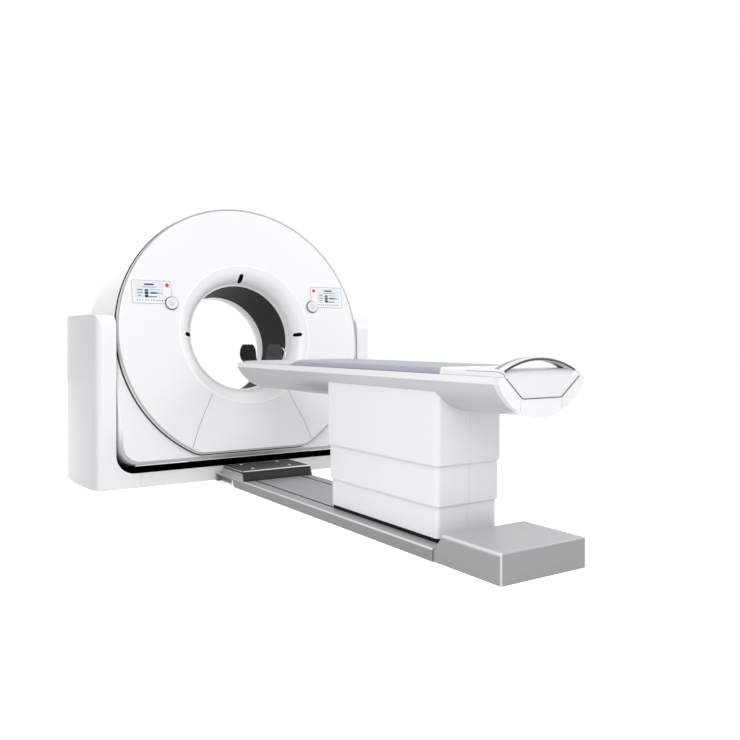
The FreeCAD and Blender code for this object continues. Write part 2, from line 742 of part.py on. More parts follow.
def base_frame(doc, z):
    body = new_body(doc, "base_frame")
    reach = post_inner(z) + z.post_width
    sketch = new_sketch(body, "XY_Plane")
    half = z.plate_depth / 2
    draw_outline(sketch, box_corners(-reach, -half, reach, half))
    pad(body, sketch, z.plate_thick)
    sketch = new_sketch(body, "XY_Plane")
    deep = z.post_depth / 2
    draw_outline(sketch, box_corners(post_inner(z), -deep, reach, deep))
    post = pad(body, sketch, z.post_top)
    mirror(body, post, "YZ_Plane")
    sketch = new_sketch(body, "YZ_Plane")
    draw_circle(sketch, 0, z.axis_height, z.bearing_radius)
    cut_through(body, sketch)
    sketch = new_sketch(body, "XY_Plane")
    for x in (-z.anchor_x / 2, z.anchor_x / 2):
        for y in (-z.anchor_y / 2, z.anchor_y / 2):
            draw_circle(sketch, x, y, z.anchor_hole)
    cut_through(body, sketch)
    return body


def tilt_bearings(doc, z):
    body = new_body(doc, "tilt_bearings")
    sketch = new_sketch(body, "YZ_Plane", post_inner(z))
    draw_circle(sketch, 0, z.axis_height, z.bearing_radius - z.running_gap)
    draw_circle(sketch, 0, z.axis_height, z.tilt_pin_radius + z.running_gap)
    bearing = pad(body, sketch, z.post_width)
    mirror(body, bearing, "YZ_Plane")
    return body


def tilt_gear(doc, z):
    body = new_body(doc, "tilt_gear_motor")
    face = post_inner(z) + z.post_width
    top = z.axis_height - z.gear_drop
    sketch = new_sketch(body, "YZ_Plane", face)
    half = z.gear_depth / 2
    draw_outline(sketch, box_corners(-half, top - z.gear_height, half, top, z.gear_depth / 10))
    pad(body, sketch, z.gear_width)
    sketch = new_sketch(body, "XY_Plane", top - z.gear_height)
    draw_circle(sketch, face + z.gear_width / 2, 0, z.gear_width / 2 - z.hidden_gap)
    pad(body, sketch, z.gear_height, True)
    return body


def trough_liner(doc, z):
    """The dark liner in the gap under the gantry, curved about the tilt axis."""
    body = new_body(doc, "trough_liner")
    outer = z.pillar_inner - z.hidden_gap
    inner = outer - z.liner_thick
    low = z.axis_height - trough_radius(z)
    rise = low + z.pillar_corner
    high = low + z.liner_thick
    sketch = new_sketch(body, "XZ_Plane")
    inside = z.pillar_corner - z.liner_thick
    draw_outline(sketch, [
        (-outer, rise), (-outer, low, z.pillar_corner - z.hidden_gap),
        (outer, low, z.pillar_corner - z.hidden_gap), (outer, rise), (inner, rise),
        (inner, high, inside - z.hidden_gap), (-inner, high, inside - z.hidden_gap),
        (-inner, rise)])
    draw_axis(sketch, -outer, z.axis_height, outer, z.axis_height)
    spread = 2 * arc_sine((z.stand_front - 2 * z.liner_thick) / trough_radius(z))
    turn_solid(body, sketch, "Axis0", spread)
    return body


# ---------------------------------------------------------------- gantry covers

def shell_face(z):
    """Front face of the shell before the isocentre."""
    return z.gantry_front - z.disc_depth


def depth(z, behind):
    """Local Y of a plane that lies behind the trim ring's plane."""
    return behind - z.gantry_front


def flange_height(z):
    """Depth of the shell's cavity below the isocentre, at its flat bottom."""
    return z.disc_flat - z.drum_flange


def draw_flat_circle(sketch, radius, flat):
    """A circle with its lower part cut off flat."""
    across = leg(radius, flat)
    draw_outline(sketch, [
        (across, -flat), (0, radius), (-across, -flat)], {0: radius, 1: radius})


def gantry_shell(doc, z):
    body = new_body(doc, "gantry_shell")
    length = shell_face(z) + z.gantry_back
    sketch = new_sketch(body, "XZ_Plane", -z.gantry_back)
    draw_circle(sketch, 0, 0, z.drum_radius)
    pad(body, sketch, length)
    side = z.drum_radius
    sketch = new_sketch(body, "XZ_Plane")
    draw_outline(sketch, box_corners(-side, -2 * side, side, -z.drum_flat))
    cut_through(body, sketch)
    sketch = new_sketch(body, "XZ_Plane", -z.gantry_back)
    draw_outline(sketch, [
        (side, 0), (-side, 0), (-side, -z.drum_flat, z.drum_corner),
        (side, -z.drum_flat, z.drum_corner)])
    pad(body, sketch, length)
    dress(body, "Chamfer", lambda box, edge: near(box.YMin, -shell_face(z))
          and near(box.YMax, -shell_face(z)), z.drum_lip)
    dress(body, "Fillet", lambda box, edge: near(box.YMin, z.gantry_back)
          and near(box.YMax, z.gantry_back), z.drum_round)
    rear_sweep(body, z)
    sketch = new_sketch(body, "XZ_Plane", -z.gantry_back + z.rear_wall)
    draw_flat_circle(sketch, z.drum_radius - z.drum_wall, flange_height(z))
    cut(body, sketch, length, True)
    sketch = new_sketch(body, "YZ_Plane")
    rear_profile(sketch, z, z.flare_wall + z.hidden_gap, z.drum_wall)
    turn_solid(body, sketch, "H_Axis", 360, "Groove")
    sketch = new_sketch(body, "YZ_Plane")
    draw_circle(sketch, 0, 0, z.tilt_pin_radius + z.hidden_gap)
    cut_through(body, sketch)
    return body


def rear_sweep(body, z):
    """Trims the rear of the underside to the radius that swings clear of the trough."""
    half = z.drum_radius
    low = -z.sweep_radius
    start = low + z.drum_corner + z.drum_lip
    sketch = new_sketch(body, "XZ_Plane")
    draw_outline(sketch, [
        (-half, start), (-half, low, z.drum_corner), (half, low, z.drum_corner),
        (half, start), (2 * half, start), (2 * half, 2 * low), (-2 * half, 2 * low),
        (-2 * half, start)])
    feature = turn_solid(body, sketch, "H_Axis", 90, "Groove")
    feature.Midplane = False
    feature.Reversed = False


def rear_profile(sketch, z, offset, beyond):
    """Region inside the rear flare's inner surface, moved out by an offset."""
    start = depth(z, z.rear_start)
    end = z.gantry_back
    low = z.bore_radius + z.bore_wall + offset
    draw_outline(sketch, [
        (start, 0), (end + beyond, 0), (end + beyond, z.rear_rim + offset),
        (end, z.rear_rim + offset), (start, low)], {3: -z.rear_turn})


def rear_flare(doc, z):
    """The light rear flare with its short straight throat."""
    body = new_body(doc, "rear_flare")
    start = depth(z, z.rear_start)
    throat = depth(z, z.ring_end)
    end = z.gantry_back
    wall = z.flare_wall
    low = z.bore_radius + z.bore_wall
    sketch = new_sketch(body, "YZ_Plane")
    draw_outline(sketch, [
        (throat, z.bore_radius), (start, low), (end, z.rear_rim), (end, z.rear_rim + wall),
        (start, low + wall - 2 * z.hidden_gap), (start - wall, low), (throat, low)],
        {1: z.rear_turn, 3: -z.rear_turn})
    turn_solid(body, sketch)
    return body


def bore_ring(doc, z, label, start, end):
    """A plain ring of the bore, between two depths."""
    body = new_body(doc, label)
    sketch = new_sketch(body, "YZ_Plane")
    draw_outline(sketch, box_corners(
        depth(z, start), z.bore_radius, depth(z, end), z.bore_radius + z.bore_wall))
    turn_solid(body, sketch)
    return body


def front_flare(doc, z):
    body = new_body(doc, "front_flare")
    face = -(z.gantry_front + z.face_crown)
    end = depth(z, z.flare_depth)
    wall = z.flare_wall
    sketch = new_sketch(body, "YZ_Plane")
    draw_outline(sketch, [
        (face, z.flare_rim), (face, z.flare_rim - wall), (end, z.bore_radius),
        (end, z.bore_radius + wall), (face + wall, z.flare_rim)],
        {1: z.flare_turn, 3: -(z.flare_turn - wall)})
    turn_solid(body, sketch)
    sketch = new_sketch(body, "XZ_Plane")
    draw_windows(sketch, z, 0)
    cut_through(body, sketch)
    return body


def draw_windows(sketch, z, gap):
    """The three laser windows as seen from the front, made smaller by a gap."""
    half = z.window_wide / 2 - gap
    inner = z.window_inner + gap
    outer = z.window_outer - gap
    turn = z.window_round - gap
    for side in (-1, 1):
        draw_outline(sketch, round_corners(side * inner, -half, side * outer, half, turn))
    half = z.top_window_wide / 2 - gap
    draw_outline(sketch, round_corners(
        -half, z.top_window_inner + gap, half, z.top_window_outer - gap, turn))


def round_corners(x0, y0, x1, y1, turn):
    """The corners of a box, all with the same rounding."""
    return [corner + (turn,) for corner in box_corners(x0, y0, x1, y1)]


def laser_windows(doc, z):
    """Three dark panes that follow the flare's curve, a little below its surface."""
    flare = new_body(doc, "window_band")
    face = -(z.gantry_front + z.face_crown)
    end = depth(z, z.flare_depth)
    sink = z.flare_wall / 3
    sketch = new_sketch(flare, "YZ_Plane")
    draw_outline(sketch, [
        (face + sink, z.flare_rim), (end, z.bore_radius + sink),
        (end, z.bore_radius + z.flare_wall), (face + z.flare_wall, z.flare_rim)],
        {0: z.flare_turn - sink, 2: -(z.flare_turn - z.flare_wall)})
    turn_solid(flare, sketch)
    wedge = new_body(doc, "window_outlines")
    sketch = new_sketch(wedge, "XZ_Plane", -end)
    draw_windows(sketch, z, z.hidden_gap)
    pad(wedge, sketch, end - face)
    result = doc.addObject("Part::Common", "laser_windows")
    result.Label = "laser_windows"
    lean(flare, z)
    lean(wedge, z)
    result.Base = flare
    result.Tool = wedge
    return result


def disc_body(doc, z, label, radius, flat):
    """The front face's round plate with its flat bottom and rounded border."""
    body = new_body(doc, label)
    front = -(z.gantry_front + z.face_crown)
    rim = -z.gantry_front
    sketch = new_sketch(body, "YZ_Plane")
    draw_outline(sketch, [
        (-shell_face(z), z.flare_rim + z.joint_line), (-shell_face(z), radius), (rim, radius),
        (front, radius - z.disc_edge), (front, z.flare_rim + z.joint_line)],
        {2: -z.edge_turn})
    turn_solid(body, sketch)
    flat_bottom(body, z, radius, flat)
    return body


def flat_bottom(body, z, radius, flat):
    """Cuts a disc's flat bottom and rounds the two corners."""
    sketch = new_sketch(body, "XZ_Plane")
    draw_outline(sketch, box_corners(-radius, -2 * radius, radius, -flat))
    cut_through(body, sketch)
    across = leg(radius, flat)
    dress(body, "Fillet", lambda box, edge: near(box.ZMax, -flat) and near(box.ZMin, -flat)
          and box.XLength < 0.01 and near(abs(box.XMax), across), z.disc_corner)


def panel_seams(z, gap):
    """The lower panel's outline, moved outwards by a gap."""
    low = -z.disc_radius
    top_x = z.seam_top_x + gap
    mid_x = z.seam_mid_x + gap
    low_x = z.seam_low_x + gap
    return [
        (-top_x, z.hidden_gap - z.seam_top_drop), (-mid_x, -z.seam_mid_drop),
        (-low_x, -z.seam_low_drop), (-low_x - z.disc_corner / 4, low),
        (low_x + z.disc_corner / 4, low), (low_x, -z.seam_low_drop),
        (mid_x, -z.seam_mid_drop), (top_x, z.hidden_gap - z.seam_top_drop),
        (0, z.seam_top_x - z.seam_top_drop)]


def lower_panel(doc, z):
    body = disc_body(doc, z, "lower_front_panel", inner_disc(z), inner_flat(z))
    sketch = new_sketch(body, "XZ_Plane")
    draw_outline(sketch, box_corners(
        -2 * z.disc_radius, -2 * z.disc_radius, 2 * z.disc_radius, 2 * z.disc_radius))
    draw_outline(sketch, panel_seams(z, 0))
    cut_through(body, sketch)
    return lean(body, z)


def inner_disc(z):
    return z.disc_radius - z.trim_width - z.joint_line


def inner_flat(z):
    return z.disc_flat - z.trim_width - z.joint_line


def front_cover(doc, z):
    body = disc_body(doc, z, "front_cover", inner_disc(z), inner_flat(z))
    sketch = new_sketch(body, "XZ_Plane")
    draw_outline(sketch, panel_seams(z, z.panel_line))
    cut_through(body, sketch)
    front = z.gantry_front + z.face_crown
    for side in (-1, 1):
        sketch = new_sketch(body, "XZ_Plane", front - z.panel_seat)
        draw_outline(sketch, panel_corners(z, side, z.button_gap))
        cut(body, sketch, z.panel_seat * 2, True)
        sketch = new_sketch(body, "XZ_Plane", front - z.button_well)
        draw_circle(sketch, side * z.stop_x, z.stop_up, z.stop_radius + z.button_gap)
        cut(body, sketch, z.button_well * 2, True)
        sketch = new_sketch(body, "XZ_Plane", front - z.knob_shaft_length - z.panel_seat)
        draw_circle(sketch, side * z.knob_x, z.knob_up, z.knob_shaft + z.running_gap)
        cut(body, sketch, z.knob_shaft_length * 2, True)
    return lean(body, z)


def trim_ring(doc, z):
    outer = plate(doc, z, "trim_outer", z.disc_radius, z.disc_flat, z.gantry_front)
    inner = plate(doc, z, "trim_inner", z.disc_radius - z.trim_width,
                  z.disc_flat - z.trim_width, z.gantry_front + z.face_crown)
    return subtract(doc, "trim_ring", lean(outer, z), lean(inner, z))


def plate(doc, z, label, radius, flat, front):
    """A flat-bottomed plate from the shell's face to a front plane."""
    body = new_body(doc, label)
    sketch = new_sketch(body, "XZ_Plane", shell_face(z))
    draw_circle(sketch, 0, 0, radius)
    pad(body, sketch, front - shell_face(z))
    flat_bottom(body, z, radius, flat)
    return body


def touch_strip(doc, z):
    body = new_body(doc, "touch_strip")
    half = z.strip_length / 2
    sketch = new_sketch(body, "XZ_Plane", shell_face(z) - z.strip_width - z.drum_lip)
    draw_outline(sketch, box_corners(
        -half + z.disc_corner, -z.drum_flat - z.strip_thick, half - z.disc_corner, -z.drum_flat))
    pad(body, sketch, z.strip_width)
    return lean(body, z)


# ---------------------------------------------------------------- control panels

def panel_corners(z, side, gap=0):
    """A control panel's outline, moved outwards by a gap."""
    near_x = side * (z.panel_near - gap)
    far_x = side * (z.panel_out + gap)
    cut_x = side * (z.panel_near + z.panel_cut - gap)
    top = z.panel_top + gap
    low = z.panel_low - gap
    return [
        (far_x, top, z.panel_round), (far_x, low, z.panel_round), (cut_x, low),
        (near_x, low + z.panel_cut), (near_x, top, z.panel_round)]


def control_panels(doc, z):
    body = new_body(doc, "control_panels")
    back = z.gantry_front + z.face_crown - z.panel_seat
    thick = z.panel_seat + z.panel_proud
    sketch = new_sketch(body, "XZ_Plane", back)
    for side in (-1, 1):
        draw_outline(sketch, panel_corners(z, side))
        draw_circle(sketch, side * z.stop_x, z.stop_up, z.stop_radius + z.button_gap)
    pad(body, sketch, thick)
    sketch = new_sketch(body, "XZ_Plane", back + thick - z.screen_seat)
    draw_screens(sketch, z, z.button_gap)
    cut(body, sketch, z.screen_seat * 2, True)
    return lean(body, z)


def draw_screens(sketch, z, gap):
    """Both screens' outlines, moved outwards by a gap."""
    for side in (-1, 1):
        draw_outline(sketch, box_corners(
            side * (z.screen_far + gap), z.screen_low - gap,
            side * (z.screen_near - gap), z.screen_top + gap))


def panel_face(z):
    return z.gantry_front + z.face_crown + z.panel_proud


def screens(doc, z):
    body = new_body(doc, "screens")
    sketch = new_sketch(body, "XZ_Plane", panel_face(z) - z.screen_seat)
    draw_screens(sketch, z, 0)
    pad(body, sketch, z.screen_seat + z.button_gap)
    return lean(body, z)


def touch_keys(doc, z):
    """A row of flat touch keys on each panel."""
    body = new_body(doc, "touch_keys")
    sketch = new_sketch(body, "XZ_Plane", panel_face(z))
    half = z.touch_high / 2
    draw_outline(sketch, box_corners(
        -z.touch_first, z.touch_up - half, z.touch_wide - z.touch_first, z.touch_up + half))
    key = pad(body, sketch, z.touch_thick)
    row = repeat(body, key, "X_Axis", z.touch_pitch, z.touch_count)
    both_sides(body, key, row)
    return lean(body, z)


def stop_button(doc, z, side, label):
    body = new_body(doc, label)
    sketch = new_sketch(body, "XZ_Plane", panel_face(z) + z.stop_proud - z.button_stem)
    draw_circle(sketch, side * z.stop_x, z.stop_up, z.stop_radius)
    pad(body, sketch, z.button_stem)
    front = z.stop_proud + panel_face(z)
    dress(body, "Fillet", lambda box, edge: near(box.YMin, -front)
          and near(box.YMax, -front), z.stop_proud / 2)
    return lean(body, z)


def knob(doc, z, side, label):
    """A turning knob on a shaft, with a well for its push key."""
    body = new_body(doc, label)
    face = panel_face(z) + z.hidden_gap
    sketch = new_sketch(body, "XZ_Plane", face)
    draw_circle(sketch, side * z.knob_x, z.knob_up, z.knob_radius)
    pad(body, sketch, z.knob_proud)
    front = face + z.knob_proud
    dress(body, "Fillet", lambda box, edge: near(box.YMin, -front)
          and near(box.YMax, -front), z.knob_edge)
    sketch = new_sketch(body, "XZ_Plane", face)
    draw_circle(sketch, side * z.knob_x, z.knob_up, z.knob_shaft)
    pad(body, sketch, z.knob_shaft_length, True)
    sketch = new_sketch(body, "XZ_Plane", face + z.knob_floor)
    draw_circle(sketch, side * z.knob_x, z.knob_up, z.key_radius + z.button_gap)
    cut(body, sketch, z.knob_proud, True)
    return lean(body, z)


def push_key(doc, z, side, label):
    body = new_body(doc, label)
    front = panel_face(z) + z.hidden_gap + z.knob_proud
    length = z.knob_proud / 2
    sketch = new_sketch(body, "XZ_Plane", front + z.key_proud - length)
    draw_circle(sketch, side * z.knob_x, z.knob_up, z.key_radius)
    pad(body, sketch, length)
    return lean(body, z)


# ---------------------------------------------------------------- inside the gantry

def ring_body(doc, z, label, inner, outer, front, thick):
    """A plain ring about the bore; front is its face before the isocentre."""
    body = new_body(doc, label)
    sketch = new_sketch(body, "YZ_Plane")
    draw_outline(sketch, box_corners(-front, inner, thick - front, outer))
    turn_solid(body, sketch)
    return body


def stator_front(z):
    return z.stator_thick - z.stator_back


def stator_frame(doc, z):
    """The tilting frame: a ring with two arms to the tilt pins."""
    body = new_body(doc, "stator_frame")
    sketch = new_sketch(body, "XZ_Plane", -z.stator_back)
    draw_circle(sketch, 0, 0, z.stator_outer)
    draw_circle(sketch, 0, 0, z.stator_inner)
    pad(body, sketch, z.stator_thick)
    inner = z.drum_radius - z.drum_wall - z.hidden_gap
    sketch = new_sketch(body, "XZ_Plane", -z.stator_back)
    half = z.arm_height / 2
    draw_outline(sketch, box_corners(
        z.stator_outer - z.stator_thick, -half, leg(inner, half), half))
    arm = pad(body, sketch, z.stator_back + z.arm_height / 2)
    mirror(body, arm, "YZ_Plane")
    sketch = new_sketch(body, "XZ_Plane")
    side = z.stator_outer
    draw_outline(sketch, box_corners(
        -side, -2 * side, side, z.hidden_gap - flange_height(z)))
    cut_through(body, sketch)
    sketch = new_sketch(body, "YZ_Plane")
    draw_circle(sketch, 0, 0, z.tilt_pin_radius + z.hidden_gap)
    cut_through(body, sketch)
    return lean(body, z)


def tilt_pins(doc, z):
    body = new_body(doc, "tilt_pins")
    start = z.stator_outer - z.stator_thick
    sketch = new_sketch(body, "YZ_Plane", start)
    draw_circle(sketch, 0, 0, z.tilt_pin_radius)
    pin = pad(body, sketch, post_inner(z) + z.post_width - start)
    mirror(body, pin, "YZ_Plane")
    return lean(body, z)


def race_front(z):
    """Front face of the main bearing, seated on the stator frame."""
    return stator_front(z) + z.race_thick


def bearing_outer(doc, z):
    return lean(ring_body(doc, z, "main_bearing_outer", z.race_split + z.running_gap,
                          z.race_outer, race_front(z), z.race_thick), z)


def bearing_inner(doc, z):
    return lean(ring_body(doc, z, "main_bearing_inner", z.race_inner, z.race_split,
                          race_front(z) + z.race_step, z.race_thick), z)


def motor_stator(doc, z):
    return lean(ring_body(doc, z, "ring_motor_stator", z.motor_inner, z.motor_outer,
                          stator_front(z) + z.motor_thick, z.motor_thick), z)


def rotor_disc(doc, z):
    return lean(ring_body(doc, z, "rotor_disc", z.rotor_hole, z.rotor_radius,
                          rotor_front(z), z.rotor_thick), z)


def rotor_front(z):
    """Front face of the rotor disc, seated on the bearing's inner ring."""
    return race_front(z) + z.race_step + z.rotor_thick


def slip_ring(doc, z):
    return lean(ring_body(doc, z, "slip_ring", z.slip_hole, z.slip_radius,
                          race_front(z) + z.race_step, z.slip_thick), z)


def xray_source(doc, z):
    """The X-ray tube's housing and the collimator in front of its window."""
    body = new_body(doc, "xray_source")
    sketch = new_sketch(body, "XZ_Plane", rotor_front(z))
    draw_circle(sketch, 0, z.tube_up, z.tube_radius)
    pad(body, sketch, z.tube_length)
    front = rotor_front(z) + z.tube_length
    dress(body, "Fillet", lambda box, edge: near(box.YMin, -front)
          and near(box.YMax, -front), z.tube_radius / 4)
    sketch = new_sketch(body, "XZ_Plane", rotor_front(z))
    half = z.collimator_wide / 2
    draw_outline(sketch, [
        (-half, z.collimator_low), (half, z.collimator_low),
        (half / 2, z.tube_up), (-half / 2, z.tube_up)])
    pad(body, sketch, z.collimator_deep)
    return lean(body, z)


def detector_arc(doc, z):
    """The detector's arc about the focus of the X-ray tube."""
    body = new_body(doc, "detector_arc")
    low = z.tube_up - z.detector_radius
    sketch = new_sketch(body, "YZ_Plane")
    draw_outline(sketch, box_corners(
        -rotor_front(z) - z.detector_deep, low - z.detector_thick, -rotor_front(z), low))
    draw_axis(sketch, -rotor_front(z) - z.detector_deep, z.tube_up, -rotor_front(z), z.tube_up)
    turn_solid(body, sketch, "Axis0", z.detector_span)
    return lean(body, z)


def side_box(doc, z, side, label, size, deep):
    body = new_body(doc, label)
    sketch = new_sketch(body, "XZ_Plane", rotor_front(z))
    middle = side * z.box_side_x
    half = size / 2
    draw_outline(sketch, box_corners(middle - half, -half, middle + half, half, size / 12))
    pad(body, sketch, deep)
    return lean(body, z)


# ---------------------------------------------------------------- floor rail

def rail_start(z):
    """Gantry end of the rail bed, from the isocentre."""
    return z.stand_front + z.rail_lead + z.rail_head


def rail_bed(doc, z):
    body = new_body(doc, "rail_bed")
    half = z.rail_half
    top = z.rail_height
    edge = z.slot_width / 2
    floor = top - z.slot_depth
    sketch = new_sketch(body, "XZ_Plane", rail_start(z))
    draw_outline(sketch, [
        (-half, 0), (half, 0), (half, top, z.rail_edge),
        (z.slot_x + edge, top), (z.slot_x + edge, floor), (z.slot_x - edge, floor),
        (z.slot_x - edge, top), (edge - z.slot_x, top), (edge - z.slot_x, floor),
        (-z.slot_x - edge, floor), (-z.slot_x - edge, top), (-half, top, z.rail_edge)])
    pad(body, sketch, z.rail_end - rail_start(z))
    sketch = new_sketch(body, "XZ_Plane", rail_start(z))
    for side in (-1, 1):
        draw_outline(sketch, box_corners(
            side * (half - z.recess_depth), -z.rail_edge, side * (half + z.joint_line), z.recess_height))
    cut(body, sketch, z.recess_length, True)
    sketch = new_sketch(body, "XY_Plane")
    for x in (-z.rail_anchor_x / 2, z.rail_anchor_x / 2):
        for y in (-z.rail_anchor_y / 2, z.rail_anchor_y / 2):
            draw_circle(sketch, x, y - z.rail_anchor_middle, z.rail_anchor_hole)
    cut(body, sketch, z.rail_anchor_deep, True)
    return body


def rail_head(doc, z):
    body = new_body(doc, "rail_head_block")
    sketch = new_sketch(body, "XZ_Plane", z.stand_front + z.rail_lead)
    draw_outline(sketch, [
        (-z.rail_half, 0), (z.rail_half, 0), (z.rail_half, z.rail_height, z.rail_edge),
        (-z.rail_half, z.rail_height, z.rail_edge)])
    pad(body, sketch, z.rail_head)
    sketch = new_sketch(body, "XZ_Plane", z.stand_front)
    half = z.rail_half - z.recess_depth
    draw_outline(sketch, box_corners(-half, 0, half, z.rail_height / 2))
    pad(body, sketch, z.rail_lead + z.rail_head)
    return body


def anchor_fittings(doc, z):
    """Bright clamping blocks and an upright pin in each side recess of the rail."""
    body = new_body(doc, "anchor_fittings")
    inner = z.rail_half - z.recess_depth
    middle = z.rail_half - z.recess_depth / 2
    first = -rail_start(z) - z.foot_block_first
    sketch = new_sketch(body, "XY_Plane")
    for side in (-1, 1):
        for start in (first, first - z.foot_block_pitch):
            draw_outline(sketch, box_corners(
                side * inner, start, side * z.rail_half, start - z.foot_block_length))
    pad(body, sketch, z.foot_block_height)
    sketch = new_sketch(body, "XY_Plane")
    for side in (-1, 1):
        draw_circle(sketch, side * middle, -rail_start(z) - z.foot_pin_at, z.foot_pin_radius)
    pad(body, sketch, z.recess_height)
    return body


def bracket(doc, z):
    """The dark bracket that ties the rail's end to the stand's side of the floor."""
    body = new_body(doc, "rail_bracket")
    low = z.rail_height
    top = low + z.bracket_height
    front = -z.bracket_front
    sketch = new_sketch(body, "YZ_Plane")
    draw_outline(sketch, [
        (-z.bracket_back, low), (-z.bracket_back, top, z.bracket_lip / 2),
        (front + z.bracket_lean, top, z.bracket_lip / 2),
        (front + z.bracket_lip, low + z.bracket_lip), (front, low + z.bracket_lip),
        (front, low)])
    pad_both(body, sketch, 2 * z.bracket_half)
    sketch = new_sketch(body, "XY_Plane", top - z.screw_sink)
    for x in (-z.screw_x, z.screw_x):
        for y in (0, z.screw_pitch):
            draw_circle(sketch, x, -z.bracket_back - z.screw_back - y, z.screw_well)
    cut(body, sketch, z.screw_sink * 2, True)
    return body


def bracket_screws(doc, z):
    """Four socket-head screws, seated in the bracket's counterbores."""
    body = new_body(doc, "bracket_screws")
    base = z.rail_height + z.bracket_height - z.screw_sink
    sketch = new_sketch(body, "XY_Plane", base)
    for x in (-z.screw_x, z.screw_x):
        for y in (0, z.screw_pitch):
            draw_circle(sketch, x, -z.bracket_back - z.screw_back - y, z.screw_radius)
    pad(body, sketch, z.screw_head)
    sketch = new_sketch(body, "XY_Plane", base + z.screw_head / 2)
    for x in (-z.screw_x, z.screw_x):
        for y in (0, z.screw_pitch):
            draw_circle(sketch, x, -z.bracket_back - z.screw_back - y, z.screw_radius / 2)
    cut(body, sketch, z.screw_head, True)
    return body


def bracket_cheeks(doc, z):
    body = new_body(doc, "bracket_cheeks")
    top = z.rail_height + z.bracket_height - z.cheek_drop
    sketch = new_sketch(body, "YZ_Plane", z.bracket_half)
    draw_outline(sketch, [
        (-z.bracket_back, z.rail_height), (-z.bracket_back, top, z.cheek_drop),
        (z.bracket_lean - z.bracket_front, top, z.cheek_drop),
        (z.bracket_lip - z.bracket_front, z.rail_height)])
    cheek = pad(body, sketch, z.cheek_thick)
    mirror(body, cheek, "YZ_Plane")
    return body


def end_block(doc, z):
    body = new_body(doc, "rail_end_block")
    start = -z.rail_end - z.joint_line
    sketch = new_sketch(body, "YZ_Plane")
    draw_outline(sketch, [
        (start, 0), (start, z.end_step), (start - z.end_ledge, z.end_step + z.joint_line),
        (start - z.end_slope, z.end_height, z.end_edge),
        (-z.end_back, z.end_height, z.end_edge), (-z.end_back, 0)])
    pad_both(body, sketch, 2 * z.end_half)
    dress(body, "Fillet", lambda box, edge: box.YLength > z.end_slope.value
          and near(box.ZMin, z.end_height)
          and near(abs(box.XMax), z.end_half), z.end_edge / 2)
    return body


# ---------------------------------------------------------------- pedestal

def cover_size(z, inward):
    """Half width, half length and corner radius of a pedestal cover moved inwards."""
    return z.cover_half - inward, z.pedestal_half - inward, z.cover_round - inward / 2


def cover_outline(body, z, level, inward):
    half, length, turn = cover_size(z, inward)
    sketch = new_sketch(body, "XY_Plane", level)
    middle = -z.pedestal_middle
    draw_outline(sketch, box_corners(-half, middle - length, half, middle + length, turn))
    return sketch


def cover_seam(body, z, low, top, inward):
    """The upright seam line in the middle of a cover's foot end."""
    sketch = new_sketch(body, "XY_Plane", low)
    foot = -z.pedestal_middle - z.pedestal_half + inward
    draw_outline(sketch, box_corners(
        -z.seam_width / 2, foot - 1, z.seam_width / 2, foot + z.seam_depth))
    cut(body, sketch, top - low, True)


def decked_cover(doc, z, label, low, top, inward, deck, hole):
    """A pedestal cover that hangs on an inner deck with a hole for the lift column."""
    body = new_body(doc, label)
    pad(body, cover_outline(body, z, low, inward), top - low)
    wall = inward + z.cover_wall
    cut(body, cover_outline(body, z, low, wall), deck - low, True)
    cut(body, cover_outline(body, z, deck + z.cover_deck, wall), top - deck, True)
    sketch = new_sketch(body, "XY_Plane", low)
    draw_circle(sketch, 0, -z.pedestal_middle, hole)
    if label == "lower_cover":
        draw_circle(sketch, 0, z.lift_motor_away - z.pedestal_middle,
                    z.lift_motor_radius + z.hidden_gap)
    cut(body, sketch, top - low, True)
    cover_seam(body, z, low, top, inward)
    return body


def upper_cover(doc, z):
    body = new_body(doc, "upper_cover")
    high = z.hull_top - z.hull_band
    pad(body, cover_outline(body, z, z.upper_bottom, 0), high - z.upper_bottom)
    cut(body, cover_outline(body, z, z.upper_bottom, z.cover_wall), high, True)
    sketch = new_sketch(body, "XZ_Plane")
    draw_circle(sketch, 0, hull_middle(z), z.hull_turn + z.hidden_gap)
    cut_through(body, sketch)
    cover_seam(body, z, z.upper_bottom, high, 0)
    return body


def carriage(doc, z):
    """The running plate on the rail with two guides in the rail's slots."""
    body = new_body(doc, "carriage")
    half, length, turn = cover_size(z, 2 * z.cover_step + z.cover_wall + z.carriage_gap)
    sketch = new_sketch(body, "XY_Plane", z.rail_height + z.carriage_gap)
    middle = -z.pedestal_middle
    draw_outline(sketch, box_corners(-half, middle - length, half, middle + length, turn))
    plate_thick = z.carriage_top - z.rail_height - z.carriage_gap
    pad(body, sketch, plate_thick)
    sketch = new_sketch(body, "XY_Plane", z.rail_height - z.guide_depth)
    edge = z.guide_width / 2
    for side in (-1, 1):
        draw_outline(sketch, box_corners(
            side * (z.slot_x - edge), middle - length + z.cover_round,
            side * (z.slot_x + edge), middle + length - z.cover_round))
    pad(body, sketch, z.guide_depth + z.carriage_gap + plate_thick / 2)
    sketch = new_sketch(body, "XY_Plane")
    draw_circle(sketch, 0, middle, z.column_radius - z.column_wall)
    cut_through(body, sketch)
    return body


def column(doc, z, label, stage, low, top):
    """One stage of the telescopic lift column; stage 0 is the outermost."""
    body = new_body(doc, label)
    outer = z.column_radius - stage * (z.column_wall + z.hidden_gap)
    sketch = new_sketch(body, "XY_Plane", low)
    draw_circle(sketch, 0, -z.pedestal_middle, outer)
    draw_circle(sketch, 0, -z.pedestal_middle, outer - z.column_wall)
    pad(body, sketch, top - low)
    return body


def inner_column(doc, z):
    """The top stage of the lift column, cut to the hull's underside."""
    body = column(doc, z, "lift_column_inner", 2, z.column_inner_bottom,
                  z.hull_top - z.hull_band)
    sketch = new_sketch(body, "XZ_Plane")
    draw_circle(sketch, 0, hull_middle(z), z.hull_turn + z.hidden_gap)
    cut_through(body, sketch)
    return body


